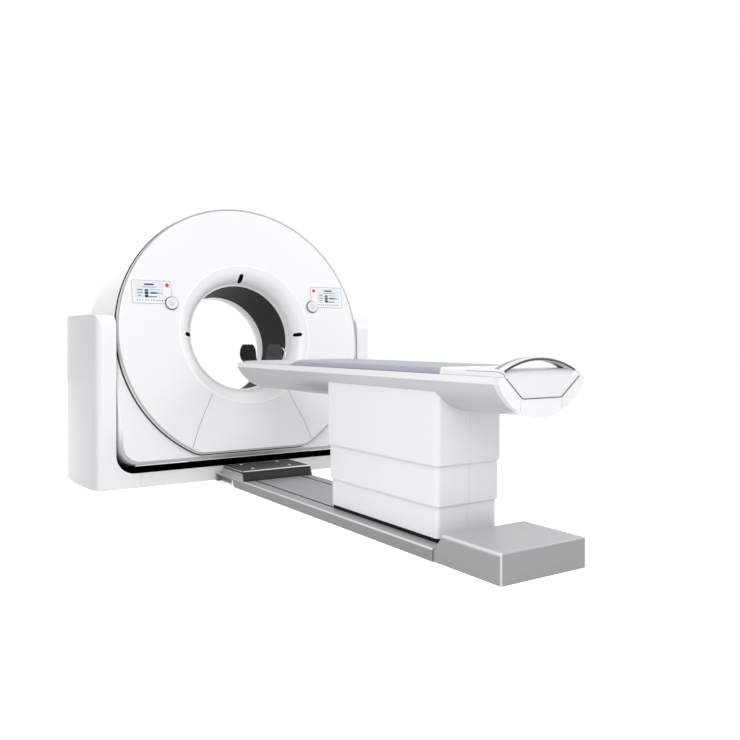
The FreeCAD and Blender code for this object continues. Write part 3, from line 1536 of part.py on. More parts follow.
def lift_motor(doc, z):
    body = new_body(doc, "lift_motor")
    sketch = new_sketch(body, "XY_Plane", z.carriage_top)
    draw_circle(sketch, 0, z.lift_motor_away - z.pedestal_middle, z.lift_motor_radius)
    pad(body, sketch, z.lift_motor_height)
    return body


# ---------------------------------------------------------------- table

def hull_middle(z):
    """Height of the centre of the hull's round underside."""
    rise = leg(z.hull_turn, z.hull_half)
    return z.hull_top - z.hull_band + rise


def hull_outline(sketch, z):
    low = z.hull_top - z.hull_band
    draw_outline(sketch, [
        (-z.hull_half, low), (z.hull_half, low), (z.hull_half, z.hull_top),
        (-z.hull_half, z.hull_top)], {0: z.hull_turn})


def channel_outline(sketch, z, gap, side_gap, top):
    """The cradle's channel, or with gaps the cradle's own section, up to a height."""
    flare = (z.channel_half - z.channel_floor_half) / (z.hull_top - z.channel_floor)
    floor = z.channel_floor_half - side_gap
    half = floor + flare * (top - z.channel_floor - gap)
    draw_outline(sketch, [
        (-floor, z.channel_floor + gap), (floor, z.channel_floor + gap), (half, top),
        (-half, top)])


def table_hull(doc, z):
    body = new_body(doc, "table_hull")
    sketch = new_sketch(body, "XZ_Plane", z.table_head)
    hull_outline(sketch, z)
    pad(body, sketch, z.table_seam - z.table_head)
    sketch = new_sketch(body, "XZ_Plane")
    channel_outline(sketch, z, 0, 0, z.hull_top + z.cradle_gap)
    cut_through(body, sketch)
    return body


def hull_cap(doc, z):
    body = new_body(doc, "hull_end_cap")
    near_end = new_sketch(body, "XZ_Plane", z.table_seam + z.joint_line)
    hull_outline(near_end, z)
    far_end = new_sketch(body, "XZ_Plane", z.table_foot)
    low = z.hull_top - z.hull_band
    sag = low - z.cap_low
    turn = (z.cap_half * z.cap_half + sag * sag) / (2 * sag)
    draw_outline(far_end, [
        (-z.cap_half, low), (z.cap_half, low), (z.cap_half, z.hull_top),
        (-z.cap_half, z.hull_top)], {0: turn})
    loft = body.newObject("PartDesign::AdditiveLoft", "hull_end_loft")
    loft.Profile = near_end
    loft.Sections = [far_end]
    loft.Ruled = True
    sketch = new_sketch(body, "XZ_Plane")
    channel_outline(sketch, z, 0, 0, z.hull_top + z.cradle_gap)
    cut_through(body, sketch)
    undercut(body, z, z.hull_top, z.cap_low)
    return body


def undercut(body, z, top, low):
    """Slopes the end face so that its bottom runs back under the table."""
    sketch = new_sketch(body, "YZ_Plane")
    foot = -z.table_foot
    draw_outline(sketch, [
        (foot, top), (foot + z.cap_undercut, low), (foot + z.cap_undercut, low - z.joint_line),
        (foot - z.cap_undercut, low - z.joint_line), (foot - z.cap_undercut, top)])
    cut_through(body, sketch)


def cradle(doc, z):
    body = new_body(doc, "cradle")
    sketch = new_sketch(body, "XZ_Plane", z.table_head)
    channel_outline(sketch, z, z.cradle_gap, z.side_gap, z.hull_top - z.cradle_drop)
    pad(body, sketch, z.board_length)
    sketch = new_sketch(body, "XZ_Plane", z.table_head)
    half = z.tongue_half + z.hidden_gap
    top = z.hull_top - z.cradle_drop
    draw_outline(sketch, box_corners(-half, top - z.tongue_thick - z.hidden_gap, half, z.hull_top))
    cut(body, sketch, z.tongue_length + z.hidden_gap, True)
    return body


def cradle_block(doc, z):
    """The cradle's end block: the channel's section, widened over the hull's top."""
    body = new_body(doc, "cradle_end_block")
    start = z.table_head + z.board_length
    base = z.hull_top + z.cradle_gap
    sketch = new_sketch(body, "XZ_Plane", start)
    channel_outline(sketch, z, z.cradle_gap, z.side_gap, base + z.cradle_drop)
    pad(body, sketch, z.table_foot - start)
    sketch = new_sketch(body, "YZ_Plane")
    draw_outline(sketch, [
        (-z.table_foot, base), (-start, base), (-start - z.block_slope, z.block_top),
        (z.block_bevel - z.table_foot, z.block_top, z.bevel_turn),
        (-z.table_foot, base + z.cradle_gap)])
    pad_both(body, sketch, 2 * z.block_half)
    undercut(body, z, base, z.cap_low)
    dress(body, "Fillet", lambda box, edge: box.YLength > z.block_slope.value
          and near(box.ZMin, z.block_top) and near(abs(box.XMax), z.block_half), z.block_edge)
    return body


def hoop(doc, z):
    """A bowed handle across the end block."""
    body = new_body(doc, "hoop_handle")
    half = z.block_half - z.block_edge
    base = z.block_top
    rise = z.hoop_rise
    thick = z.hoop_thick
    low_half = half - 2 * thick
    low_rise = rise - thick
    turn = (half * half + rise * rise) / (2 * rise)
    low_turn = (low_half * low_half + low_rise * low_rise) / (2 * low_rise)
    sketch = new_sketch(body, "XZ_Plane", z.hoop_at - z.hoop_wide / 2)
    draw_outline(sketch, [
        (half, base), (-half, base), (-low_half, base), (low_half, base)],
        {0: turn, 2: -low_turn})
    pad(body, sketch, z.hoop_wide)
    return body


def mattress(doc, z):
    """The soft mattress as a loft with crown, drawn-in sides and a step near the head."""
    body = new_body(doc, "mattress")
    thin = z.mat_thin
    thick = z.mat_thick
    low = (thin + z.hull_top - z.cradle_drop) / 2
    stations = [
        (z.table_head, low, z.mat_end), (z.table_head + z.mat_end, thin, 0),
        (z.mat_step_head, thin, 0), (z.mat_step_foot, thick, 0),
        (z.mat_foot - z.mat_end, thick, 0), (z.mat_foot, (low + thick) / 2, z.mat_end)]
    sketches = [mat_section(body, z, *station) for station in stations]
    loft = body.newObject("PartDesign::AdditiveLoft", "mattress_loft")
    loft.Profile = sketches[0]
    loft.Sections = sketches[1:]
    loft.Ruled = True
    return body


def mat_section(body, z, along, top, inward):
    """One cross-section of the mattress: flat below, crowned above, sides drawn in below."""
    sketch = new_sketch(body, "XZ_Plane", along)
    half = z.mat_half - inward
    base = z.hull_top - z.cradle_drop + z.hidden_gap
    shoulder = top - z.mat_crown
    low_half = half - z.mat_side
    crown = (half * half + z.mat_crown * z.mat_crown) / (2 * z.mat_crown)
    draw_outline(sketch, [
        (-low_half, base), (low_half, base), (half, shoulder), (-half, shoulder)],
        {2: crown})
    return sketch


def head_holder(doc, z):
    """The head holder: a trough with two rounded ears, on a tongue in the cradle."""
    body = new_body(doc, "head_holder")
    start = z.table_head - z.holder_length - z.holder_start
    outer = z.holder_radius
    inner = outer - z.holder_wall
    floor = z.holder_low + z.holder_wall
    turn = z.holder_turn - z.holder_wall
    sketch = new_sketch(body, "XZ_Plane", start)
    draw_outline(sketch, [
        (-outer, z.holder_top), (-outer, z.holder_low, z.holder_turn),
        (outer, z.holder_low, z.holder_turn), (outer, z.holder_top), (inner, z.holder_top),
        (inner, floor, turn), (-inner, floor, turn), (-inner, z.holder_top)])
    pad(body, sketch, z.holder_length)
    ear_cut(body, z, start)
    holder_tongue(body, z)
    return body


def holder_tongue(body, z):
    """The flat tongue in the cradle's end and the web down to the trough."""
    top = z.hull_top - z.cradle_drop
    foot = z.holder_start / 2 - z.table_head
    web = foot + z.holder_wall
    sketch = new_sketch(body, "YZ_Plane")
    draw_outline(sketch, [
        (-z.table_head - z.tongue_length, top - z.tongue_thick), (foot, top - z.tongue_thick),
        (foot, z.holder_low), (web, z.holder_low), (web, top),
        (-z.table_head - z.tongue_length, top)])
    pad_both(body, sketch, 2 * z.tongue_half)


def ear_cut(body, z, start):
    """Rounds the ears as seen from the side."""
    sketch = new_sketch(body, "YZ_Plane")
    over = z.holder_top + z.holder_wall
    low = z.holder_low - z.holder_wall
    far = z.holder_wall
    foot = -start - z.holder_length
    draw_outline(sketch, box_corners(foot - far, low, far - start, over))
    draw_outline(sketch, [
        (foot, z.holder_low - z.hidden_gap), (-start, z.holder_low - z.hidden_gap, z.ear_foot),
        (-start, z.holder_top, z.ear_round), (foot, z.holder_top, z.ear_round)])
    cut_through(body, sketch)


# ---------------------------------------------------------------- the whole

def stand_pieces(doc, z):
    front = -z.stand_front
    half = z.plate_depth / 2 + z.hidden_gap
    return [
        base_frame(doc, z),
        pillar_cover(doc, z, -1, "left_pillar_cover"),
        pillar_cover(doc, z, 1, "right_pillar_cover"),
        base_cover(doc, z, "base_front_cover", front, -half),
        base_cover(doc, z, "base_rear_cover", half, z.stand_back),
        trough_liner(doc, z),
        tilt_bearings(doc, z),
        tilt_gear(doc, z)]


def gantry_pieces(doc, z):
    return [
        lean(gantry_shell(doc, z), z), front_cover(doc, z), lower_panel(doc, z),
        trim_ring(doc, z), lean(front_flare(doc, z), z), laser_windows(doc, z),
        lean(bore_ring(doc, z, "bore_liner", z.flare_depth, z.liner_end), z),
        lean(bore_ring(doc, z, "rear_bore_ring", z.liner_end, z.ring_end), z),
        lean(rear_flare(doc, z), z), touch_strip(doc, z), stator_frame(doc, z),
        tilt_pins(doc, z), bearing_outer(doc, z), motor_stator(doc, z)]


def rotor_pieces(doc, z):
    return [
        rotor_disc(doc, z), bearing_inner(doc, z), slip_ring(doc, z), xray_source(doc, z),
        detector_arc(doc, z),
        side_box(doc, z, -1, "generator", z.generator_size, z.generator_deep),
        side_box(doc, z, 1, "cooler", z.cooler_size, z.generator_deep)]


def panel_pieces(doc, z):
    pieces = [control_panels(doc, z), screens(doc, z), touch_keys(doc, z)]
    for side, name in ((-1, "left"), (1, "right")):
        pieces += [
            stop_button(doc, z, side, "stop_button_" + name),
            knob(doc, z, side, "knob_" + name),
            push_key(doc, z, side, "push_key_" + name)]
    return pieces


def rail_pieces(doc, z):
    return [
        rail_bed(doc, z), rail_head(doc, z), anchor_fittings(doc, z), bracket(doc, z),
        bracket_screws(doc, z), bracket_cheeks(doc, z), end_block(doc, z)]


def table_pieces(doc, z):
    lower_hole = z.column_radius + z.hidden_gap
    middle_hole = z.column_radius - z.column_wall
    return [
        carriage(doc, z),
        decked_cover(doc, z, "lower_cover", z.lower_bottom, z.lower_top, 2 * z.cover_step,
                     z.carriage_top, lower_hole),
        column(doc, z, "lift_column_outer", 0, z.carriage_top, z.column_top),
        lift_motor(doc, z),
        decked_cover(doc, z, "middle_cover", z.middle_bottom, z.middle_top, z.cover_step,
                     z.middle_top - z.cover_deck, middle_hole),
        column(doc, z, "lift_column_middle", 1, z.middle_bottom, z.column_middle_top),
        upper_cover(doc, z), inner_column(doc, z), table_hull(doc, z), hull_cap(doc, z),
        cradle(doc, z), cradle_block(doc, z), hoop(doc, z), mattress(doc, z),
        head_holder(doc, z)]


def check_and_write(doc, pieces):
    """Stops on any failed object, and otherwise writes one STEP file a piece."""
    for item in doc.Objects:
        if "Invalid" in item.State or "Error" in item.State:
            raise ValueError("failed: " + item.Name)
    for piece in pieces:
        shape = piece.Shape
        if shape.isNull() or not shape.isValid() or not shape.Solids:
            raise ValueError("no valid solid: " + piece.Label)
    os.makedirs("parts", exist_ok=True)
    for piece in pieces:
        piece.Shape.exportStep("parts/%s.step" % piece.Label)


def main():
    doc = FreeCAD.newDocument("scanner")
    z = Names(fill_sheet(doc))
    pieces = stand_pieces(doc, z) + gantry_pieces(doc, z) + rotor_pieces(doc, z)
    pieces += panel_pieces(doc, z) + rail_pieces(doc, z) + table_pieces(doc, z)
    doc.recompute()
    check_and_write(doc, pieces)


main()
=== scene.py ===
import math

import bmesh
import bpy
from mathutils import Matrix, Vector


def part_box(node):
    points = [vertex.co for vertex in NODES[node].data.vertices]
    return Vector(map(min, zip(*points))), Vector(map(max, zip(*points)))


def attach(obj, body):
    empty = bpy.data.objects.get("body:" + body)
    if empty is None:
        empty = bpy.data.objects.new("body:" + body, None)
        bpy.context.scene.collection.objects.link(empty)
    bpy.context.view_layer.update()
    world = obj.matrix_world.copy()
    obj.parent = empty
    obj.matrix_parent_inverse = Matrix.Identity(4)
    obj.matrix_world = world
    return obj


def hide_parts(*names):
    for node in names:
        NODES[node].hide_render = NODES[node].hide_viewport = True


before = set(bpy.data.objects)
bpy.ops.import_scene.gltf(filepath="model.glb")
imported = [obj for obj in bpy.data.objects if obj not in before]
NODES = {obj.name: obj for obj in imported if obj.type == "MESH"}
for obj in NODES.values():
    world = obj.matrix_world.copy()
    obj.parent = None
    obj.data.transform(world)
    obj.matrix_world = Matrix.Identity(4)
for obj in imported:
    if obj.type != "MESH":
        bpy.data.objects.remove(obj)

bl_info = {
    "name": "CT Scanner Dressing",
    "version": (1, 0, 0),
    "blender": (4, 5, 0),
    "location": "3D View > Sidebar > Scanner",
    "description": "Finishes, soft parts and studio for a tilting CT scanner with its table",
    "category": "Object",
}

ISOCENTRE = Vector((0.0, 0.0, 0.9686))
LEAN = math.radians(9.42)
AHEAD = Vector((0.0, -math.cos(LEAN), math.sin(LEAN)))      # the way the leaning gantry faces
UPWARD = Vector((0.0, math.sin(LEAN), math.cos(LEAN)))      # up along its leaning face
FACE = 0.3476                   # the cover disc's face, forward of the isocentre
SIDES = (-1, 1)
WHITE = (1.0, 1.0, 1.0)


# ---------------- places

def on_gantry(x, forward, up):
    """A point of the leaning gantry: forward of the isocentre and up from it, in metres."""
    return ISOCENTRE + Vector((x, 0.0, 0.0)) + AHEAD * forward + UPWARD * up


def face_ring(x, forward, up, radius, count):
    """Points of a circle that lies in the leaning gantry's face."""
    turns = [math.tau * step / count for step in range(count)]
    return [on_gantry(x + radius * math.cos(turn), forward, up + radius * math.sin(turn))
            for turn in turns]


def foremost(node):
    """How far forward of the isocentre a node's foremost point lies."""
    return max((vertex.co - ISOCENTRE).dot(AHEAD) for vertex in NODES[node].data.vertices)


# ---------------- sizes a user may change

def metres(name, description, default):
    return bpy.props.FloatProperty(
        name=name, description=description, default=default, unit="LENGTH", subtype="DISTANCE")


def colour(name, description, default):
    return bpy.props.FloatVectorProperty(
        name=name, description=description, default=default, size=3, min=0.0, max=1.0,
        subtype="COLOR")


class ScannerCovers(bpy.types.PropertyGroup):
    """Colours of the covers and metal parts."""
    white: colour("Cover White", "Colour of the moulded covers", (0.87, 0.875, 0.885))
    table: colour("Table White", "Colour of the pedestal's and cradle's covers",
                  (0.78, 0.785, 0.795))
    # Painted shade: a greyer colour for the pillars' curved outer sides, standing in for the shade
    # that falls on them
    side: colour("Pillar Side", "Colour of the pillars' outer sides", (0.66, 0.665, 0.68))
    # Painted shade: a grey darker than the table white, standing in for the shade on the hull's
    # downward-facing underside
    hull: colour("Table Hull", "Colour of the table's hull", (0.53, 0.535, 0.545))
    liner: colour("Bore Liner", "Colour of the dark bore liner", (0.030, 0.030, 0.031))
    rail: colour("Rail", "Colour of the rail's metal", (0.42, 0.42, 0.43))
    # Painted shade: this grey stands in for the shade on the shell's downward-facing lip
    lip: colour("Lower Lip", "Colour of the moulded lip under the gantry", (0.47, 0.475, 0.485))
    grain: metres("Moulding Grain", "Size of the covers' fine surface grain", 0.004)


class ScannerTable(bpy.types.PropertyGroup):
    """Sizes and colours of the table's soft and small parts."""
    cloth: colour("Mattress", "Colour of the mattress's coated cloth", (0.41, 0.425, 0.485))
    sheet: colour("Head Sheet", "Colour of the mattress's thin head part", (0.66, 0.67, 0.70))
    hoop: colour("Handle", "Colour of the hoop handle", (0.80, 0.80, 0.81))
    puff: metres("Mattress Puff", "How far the padding may swell", 0.004)
    voxel: metres("Mattress Mesh", "Edge length of the mattress's mesh", 0.0055)


class ScannerStudio(bpy.types.PropertyGroup):
    """Light and camera."""
    room: bpy.props.FloatProperty(name="Room Light", description="Strength of the even light",
                                  default=0.66, min=0.0)
    key: bpy.props.FloatProperty(name="Key Light", description="Power of the large soft lamp",
                                 default=150.0, min=0.0, unit="POWER")
    fill: bpy.props.FloatProperty(name="Fill Light", description="Power of the smaller lamps",
                                  default=40.0, min=0.0, unit="POWER")
    lens: bpy.props.FloatProperty(name="Lens", description="Focal length of the camera",
                                  default=39.0, subtype="DISTANCE_CAMERA")


# ---------------- shader expressions

class Wire:
    """A node's output in an expression; each operator adds a Math node."""

    def __init__(self, finish, socket):
        self.finish = finish
        self.socket = socket

    def __add__(self, other):
        return self.finish.maths("ADD", self, other)

    def __radd__(self, other):
        return self.finish.maths("ADD", other, self)

    def __sub__(self, other):
        return self.finish.maths("SUBTRACT", self, other)

    def __rsub__(self, other):
        return self.finish.maths("SUBTRACT", other, self)

    def __mul__(self, other):
        return self.finish.maths("MULTIPLY", self, other)

    def __gt__(self, other):
        return self.finish.maths("GREATER_THAN", self, other)

    def __lt__(self, other):
        return self.finish.maths("LESS_THAN", self, other)


class Finish:
    """A node material, or a world's shading, under construction."""

    def __init__(self, name, world=None):
        self.material = world or bpy.data.materials.new(name)
        self.material.use_nodes = True
        self.tree = self.material.node_tree
        self.tree.nodes.clear()
        kind = "ShaderNodeOutputWorld" if world else "ShaderNodeOutputMaterial"
        self.output = self.tree.nodes.new(kind)

    def node(self, kind, settings=None, values=None, out=0):
        """Adds one node: its settings first, then the values or links of its sockets."""
        new = self.tree.nodes.new(kind)
        for name, setting in (settings or {}).items():
            setattr(new, name, setting)
        for key, value in (values or {}).items():
            self.feed(new.inputs[key], value)
        return Wire(self, new.outputs[out])

    def feed(self, socket, value):
        """Links a wire to a socket, or sets the socket's own value."""
        if isinstance(value, Wire):
            self.tree.links.new(value.socket, socket)
        elif socket.type == "RGBA" and len(value) == 3:
            socket.default_value = tuple(value) + (1.0,)
        else:
            socket.default_value = value

    def maths(self, operation, first, second=0.0, clamp=False):
        return self.node("ShaderNodeMath", {"operation": operation, "use_clamp": clamp},
                         {0: first, 1: second})

    def mixed(self, factor, first, second):
        """A colour between two others."""
        return self.node("ShaderNodeMix", {"data_type": "RGBA"},
                         {0: factor, 6: first, 7: second}, 2)

    def place(self):
        """Object coordinates."""
        return self.node("ShaderNodeTexCoord", out=3)

    def noise(self, vector, scale, detail=2.0, roughness=0.5):
        return self.node("ShaderNodeTexNoise", None,
                         {"Vector": vector, "Scale": scale, "Detail": detail,
                          "Roughness": roughness})

    def streaks(self, stretch, scale, roughness=0.5):
        """Noise drawn out by a scale along each axis."""
        drawn = self.node("ShaderNodeMapping", {"vector_type": "POINT"},
                          {"Vector": self.place(), "Scale": stretch})
        return self.noise(drawn, scale, 3.0, roughness)

    def parts(self, vector):
        """A vector's three numbers as wires."""
        split = self.node("ShaderNodeSeparateXYZ", None, {0: vector}).socket.node
        return [Wire(self, output) for output in split.outputs]

    def away(self, axis):
        """Distance from the middle plane of one axis."""
        return self.maths("ABSOLUTE", self.parts(self.place())[axis])

    def along(self, direction):
        """Distance from the isocentre along a direction, as a wire."""
        shifted = self.node("ShaderNodeVectorMath", {"operation": "SUBTRACT"},
                            {0: self.place(), 1: tuple(ISOCENTRE)})
        return self.node("ShaderNodeVectorMath", {"operation": "DOT_PRODUCT"},
                         {0: shifted, 1: tuple(direction)}, 1)

    def bump(self, height, strength, distance):
        return self.node("ShaderNodeBump", None,
                         {"Height": height, "Strength": strength, "Distance": distance})

    def rays(self, *kinds):
        """1 for a ray of any of these kinds, else 0."""
        outputs = self.node("ShaderNodeLightPath").socket.node.outputs
        seen = Wire(self, outputs["Is " + kinds[0] + " Ray"])
        for kind in kinds[1:]:
            seen = self.maths("MAXIMUM", seen, Wire(self, outputs["Is " + kind + " Ray"]))
        return seen

    def end(self, shader):
        """Links a shader to the output."""
        self.tree.links.new(shader.socket, self.output.inputs[0])
        return self.material

    def surface(self, **sockets):
        """Ends the material in a Principled shader; names use _ for a space."""
        values = {name.replace("_", " "): value for name, value in sockets.items()}
        return self.end(self.node("ShaderNodeBsdfPrincipled", None, values))


def softened(corners, radius, steps=4):
    """A closed outline with its corners rounded, as points."""
    points = []
    count = len(corners)
    for index, corner in enumerate(corners):
        here = Vector(corner)
        before = (Vector(corners[index - 1]) - here).normalized() * radius
        after = (Vector(corners[(index + 1) % count]) - here).normalized() * radius
        points += [tuple(here + before * (1 - part) ** 2 + after * part ** 2)
                   for part in [step / steps for step in range(steps + 1)]]
    return points


def shade(base, amount):
    """A colour made lighter or darker."""
    return tuple(min(1.0, channel * amount) for channel in base)


# ---------------- finishes

def satin(finish, dull, light, rough, grain, coat=0.25):
    """A satin moulding: faint clouds between two tones, fine grain and a thin clear coat."""
    place = finish.place()
    cloud = finish.noise(place, 1.7, 3.0)
    fine = finish.noise(place, 1.0 / grain, 2.0)
    return finish.surface(
        Base_Color=finish.mixed(cloud, dull, light), Roughness=rough - 0.05 + cloud * 0.10,
        Coat_Weight=coat, Coat_Roughness=0.12, IOR=1.46, Normal=finish.bump(fine, 0.05, 0.0002))


def moulded(name, base, rough, grain, coat=0.25):
    """A satin moulding of one colour."""
    return satin(Finish(name), shade(base, 0.985), shade(base, 1.015), rough, grain, coat)


def two_tone(name, front, side, axis, start, blend, grain):
    """A moulding whose colour changes beyond a distance along one axis, used here to paint shade on
    one part of a cover.
    """
    finish = Finish(name)
    factor = finish.maths("MULTIPLY", finish.away(axis) - start, 1.0 / blend, clamp=True)
    light = finish.mixed(factor, shade(front, 1.02), shade(side, 1.02))
    return satin(finish, finish.mixed(factor, front, side), light, 0.30, grain)


def lipped(name, base, lip, grain):
    """The gantry shell: white, with a greyer lip of painted shade along its flat underside and low
    corners.
    """
    finish = Finish(name)
    corner_across, corner_down = 0.793, 0.735       # the middle of each low corner's round
    inner_radius = 0.109                            # where the lip starts in that round
    lip_top, fade = 0.62, 8.0
    down = finish.along(-UPWARD)
    aside = finish.maths("MAXIMUM", finish.away(0) - corner_across, 0.0)
    below = finish.maths("MAXIMUM", down - corner_down, 0.0)
    reach = finish.maths("SQRT", aside * aside + below * below)
    # Painted shade: greyer on the low corners' rounds and along the flat underside
    edge = (reach > inner_radius) * finish.maths("MULTIPLY", down - lip_top, fade, clamp=True)
    light = finish.mixed(edge, shade(base, 1.02), shade(lip, 1.05))
    return satin(finish, finish.mixed(edge, base, lip), light, 0.30, grain)


def brushed(name, base, along, rough, metallic=1.0):
    """Drawn or brushed metal with streaks along one direction."""
    finish = Finish(name)
    stretch = [2.0 if axis == along else 260.0 for axis in "XYZ"]
    streak = finish.streaks(stretch, 1.0, 0.6)
    cloud = finish.noise(finish.place(), 2.5, 3.0)
    tint = finish.mixed(streak, shade(base, 0.90), shade(base, 1.10))
    return finish.surface(
        Base_Color=tint, Metallic=metallic, Roughness=rough - 0.08 + cloud * 0.1 + streak * 0.08,
        Normal=finish.bump(streak, 0.12, 0.0002))


def cast_paint(name, base, rough):
    """Structured paint or rubber: speckled grain with slight changes of tone."""
    finish = Finish(name)
    place = finish.place()
    grain = 0.003
    fine = finish.noise(place, 1.0 / grain, 4.0, 0.65)
    cloud = finish.noise(place, 3.1, 2.0)
    tint = finish.mixed(fine * 0.6 + cloud * 0.4, shade(base, 0.93), shade(base, 1.07))
    return finish.surface(Base_Color=tint, Roughness=rough + fine * 0.12,
                          Normal=finish.bump(fine, 0.15, 0.0003))


def lacquered(name, base):
    """Glossy dark lacquer on folded sheet, with a faint ripple and wiping marks."""
    finish = Finish(name)
    ripple = finish.noise(finish.place(), 9.0, 2.0)
    smear = finish.streaks((4.0, 30.0, 4.0), 3.0)
    tint = finish.mixed(smear, shade(base, 0.8), shade(base, 1.5))
    return finish.surface(
        Base_Color=tint, Roughness=0.26 + smear * 0.12, Coat_Weight=0.06 + smear * 0.06,
        Coat_Roughness=0.08, Specular_IOR_Level=0.25, Normal=finish.bump(ripple, 0.06, 0.002))


def matt(finish, dull, light, cloud_scale, gloss):
    """A matt liner with a soft wide sheen and a fine woven grain."""
    place = finish.place()
    fine = finish.noise(place, 420.0, 2.0)
    cloud = finish.noise(place, cloud_scale, 2.0)
    return finish.surface(
        Base_Color=finish.mixed(cloud, dull, light), Roughness=0.55 + cloud * 0.12,
        Specular_IOR_Level=gloss, Normal=finish.bump(fine, 0.08, 0.0002))


def dark_liner(name, base, gloss=0.07):
    """A matt liner of one colour."""
    return matt(Finish(name), shade(base, 0.85), shade(base, 1.2), 2.0, gloss)


def lined(name, outer, lining, inside, axis=0):
    """A matt liner in two tones, which change at a distance along one axis."""
    finish = Finish(name)
    nearer = finish.away(axis) < inside
    worn = finish.mixed(nearer, shade(outer, 1.2), shade(lining, 1.2))
    return matt(finish, finish.mixed(nearer, outer, lining), worn, 8.0, 0.08)


def coated_cloth(name, cloth, sheet, sheet_from):
    """Coated mattress cloth: a fine weave under a matt film, paler on its thin head part."""
    finish = Finish(name)
    place = finish.place()
    ahead = finish.maths("MULTIPLY", finish.parts(place)[1] - sheet_from, 18.0, clamp=True)
    base = finish.mixed(ahead, cloth, sheet)
    weft, warp = [finish.node("ShaderNodeTexWave", {"bands_direction": axis},
                              {"Vector": place, "Scale": 210.0, "Distortion": 0.4})
                  for axis in "XY"]
    thread = finish.maths("MAXIMUM", weft, warp)
    cloud = finish.noise(place, 6.0, 3.0)
    light = finish.mixed(ahead, shade(cloth, 1.12), shade(sheet, 1.04))
    tint = finish.mixed(cloud * 0.7 + thread * 0.3, base, light)
    return finish.surface(
        Base_Color=tint, Roughness=0.50 + cloud * 0.12,
        Normal=finish.bump(thread, 0.12, 0.0003))


def ring_paint(name, front, side, back, front_at, shadow_behind):
    """The trim ring: grey in front, pale round its rim and dark in the groove behind, where the dark
    is painted shadow.
    """
    finish = Finish(name)
    ahead = finish.along(AHEAD)
    cloud = finish.noise(finish.place(), 3.0, 2.0)
    # Painted shadow: the ring is near black behind its pale rim, in the groove
    rim = finish.mixed(ahead > shadow_behind, back, side)
    tint = finish.mixed(ahead > front_at, rim, front)
    speck = finish.mixed(cloud, shade(front, 0.94), shade(front, 1.06))
    toned = finish.mixed((ahead > front_at) * 0.5, tint, speck)
    return finish.surface(Base_Color=toned, Roughness=0.28 + cloud * 0.1, Metallic=0.2)


def near_edges(finish, low, high, reach, corners):
    """How near a point lies to a block's long top edges, or its upright corners, 0 to 1."""
    across, along, rise = finish.parts(finish.place())
    side = high[0] - finish.maths("ABSOLUTE", across)
    top_edge = 1.0 - finish.maths("DIVIDE", side + (high[2] - rise), reach, clamp=True)
    if not corners:
        return top_edge
    upright = 1.0 - finish.maths("DIVIDE", side + (along - low[1]), reach * 0.5, clamp=True)
    return finish.maths("MAXIMUM", top_edge, upright)


def extruded(name, node, top, side, bright, reach, corners=False, slot=0.0):
    """An extruded metal bed: its top and sides in two tones, the sides' darker tone being painted
    shade, slots painted dark as shade, and bright edges that are painted highlights.
    """
    finish = Finish(name)
    low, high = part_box(node)
    streak = finish.streaks((260.0, 2.0, 260.0), 1.0, 0.6)
    rise = finish.parts(finish.place())[2]
    shoulder, shoulder_fade = 0.009, 0.0085     # where the sides' tone turns into the top's
    # Painted shade: the sides take a darker copy of the metal than the top
    upper = finish.mixed(streak, shade(top, 0.94), shade(top, 1.06))
    flank = finish.mixed(streak, shade(side, 0.92), shade(side, 1.08))
    height = finish.maths("DIVIDE", rise - (high[2] - shoulder), shoulder_fade, clamp=True)
    tint = finish.mixed(height, flank, upper)
    # Painted highlight: brighter along the long top edges, and along the upright corners where asked
    tint = finish.mixed(near_edges(finish, low, high, reach, corners), tint, bright)
    # Painted shade: the slot's walls and floor are painted near black, for the shade inside it
    if slot:
        slot_half = 0.0065
        beside = finish.maths("ABSOLUTE", finish.away(0) - slot)
        tint = finish.mixed(beside < slot_half, tint, (0.012, 0.012, 0.012))
    return finish.surface(
        Base_Color=tint, Metallic=0.35, Roughness=0.35 + streak * 0.12,
        Normal=finish.bump(streak, 0.10, 0.0002))


def polished(name, base, rough):
    """Bright plated metal with faint wiping marks."""
    finish = Finish(name)
    smear = finish.streaks((3.0, 11.0, 3.0), 9.0)
    tint = finish.mixed(smear, shade(base, 0.95), shade(base, 1.05))
    return finish.surface(Base_Color=tint, Metallic=1.0, Roughness=rough + smear * 0.08,
                          Normal=finish.bump(smear, 0.03, 0.0003))


def banded(name, base, middle, far, near):
    """The handle's metal: bright, with a greyer far band of painted reflection and a dark band of
    painted shadow along its near edge.
    """
    finish = Finish(name)
    smear = finish.streaks((3.0, 11.0, 3.0), 9.0)
    beyond = finish.parts(finish.place())[1] - middle
    bright = finish.mixed(smear, shade(base, 0.95), shade(base, 1.05))
    # Painted reflection: grey beyond the far line; painted shadow: near black before the near line
    tint = finish.mixed(beyond > far, bright, shade(base, 0.40))
    tint = finish.mixed(beyond < near, tint, shade(base, 0.10))
    return finish.surface(Base_Color=tint, Metallic=0.85, Roughness=0.22 + smear * 0.08,
                          Normal=finish.bump(smear, 0.03, 0.0003))


def glowing(name, base, strength):
    """A faintly lit field with slight changes of tone."""
    finish = Finish(name)
    cloud = finish.noise(finish.place(), 14.0, 1.0)
    tint = finish.mixed(cloud, shade(base, 0.94), shade(base, 1.06))
    return finish.surface(Base_Color=tint, Roughness=0.2 + cloud * 0.05, Emission_Color=tint,
                          Emission_Strength=strength)


def paint(material, *names):
    """Gives CAD nodes a finish in their own material slots."""
    for name in names:
        node = NODES[name]
        for entry in node.material_slots:
            entry.material = material


# ---------------- mesh help

def added(name, data):
    """A new object in the scene that holds this mesh, lamp or camera."""
    piece = bpy.data.objects.new(name, data)
    bpy.context.scene.collection.objects.link(piece)
    return piece


def mesh_of(name, points, edges=(), faces=()):
    mesh = bpy.data.meshes.new(name)
    mesh.from_pydata([tuple(point) for point in points], edges, faces)
    mesh.update()
    return mesh


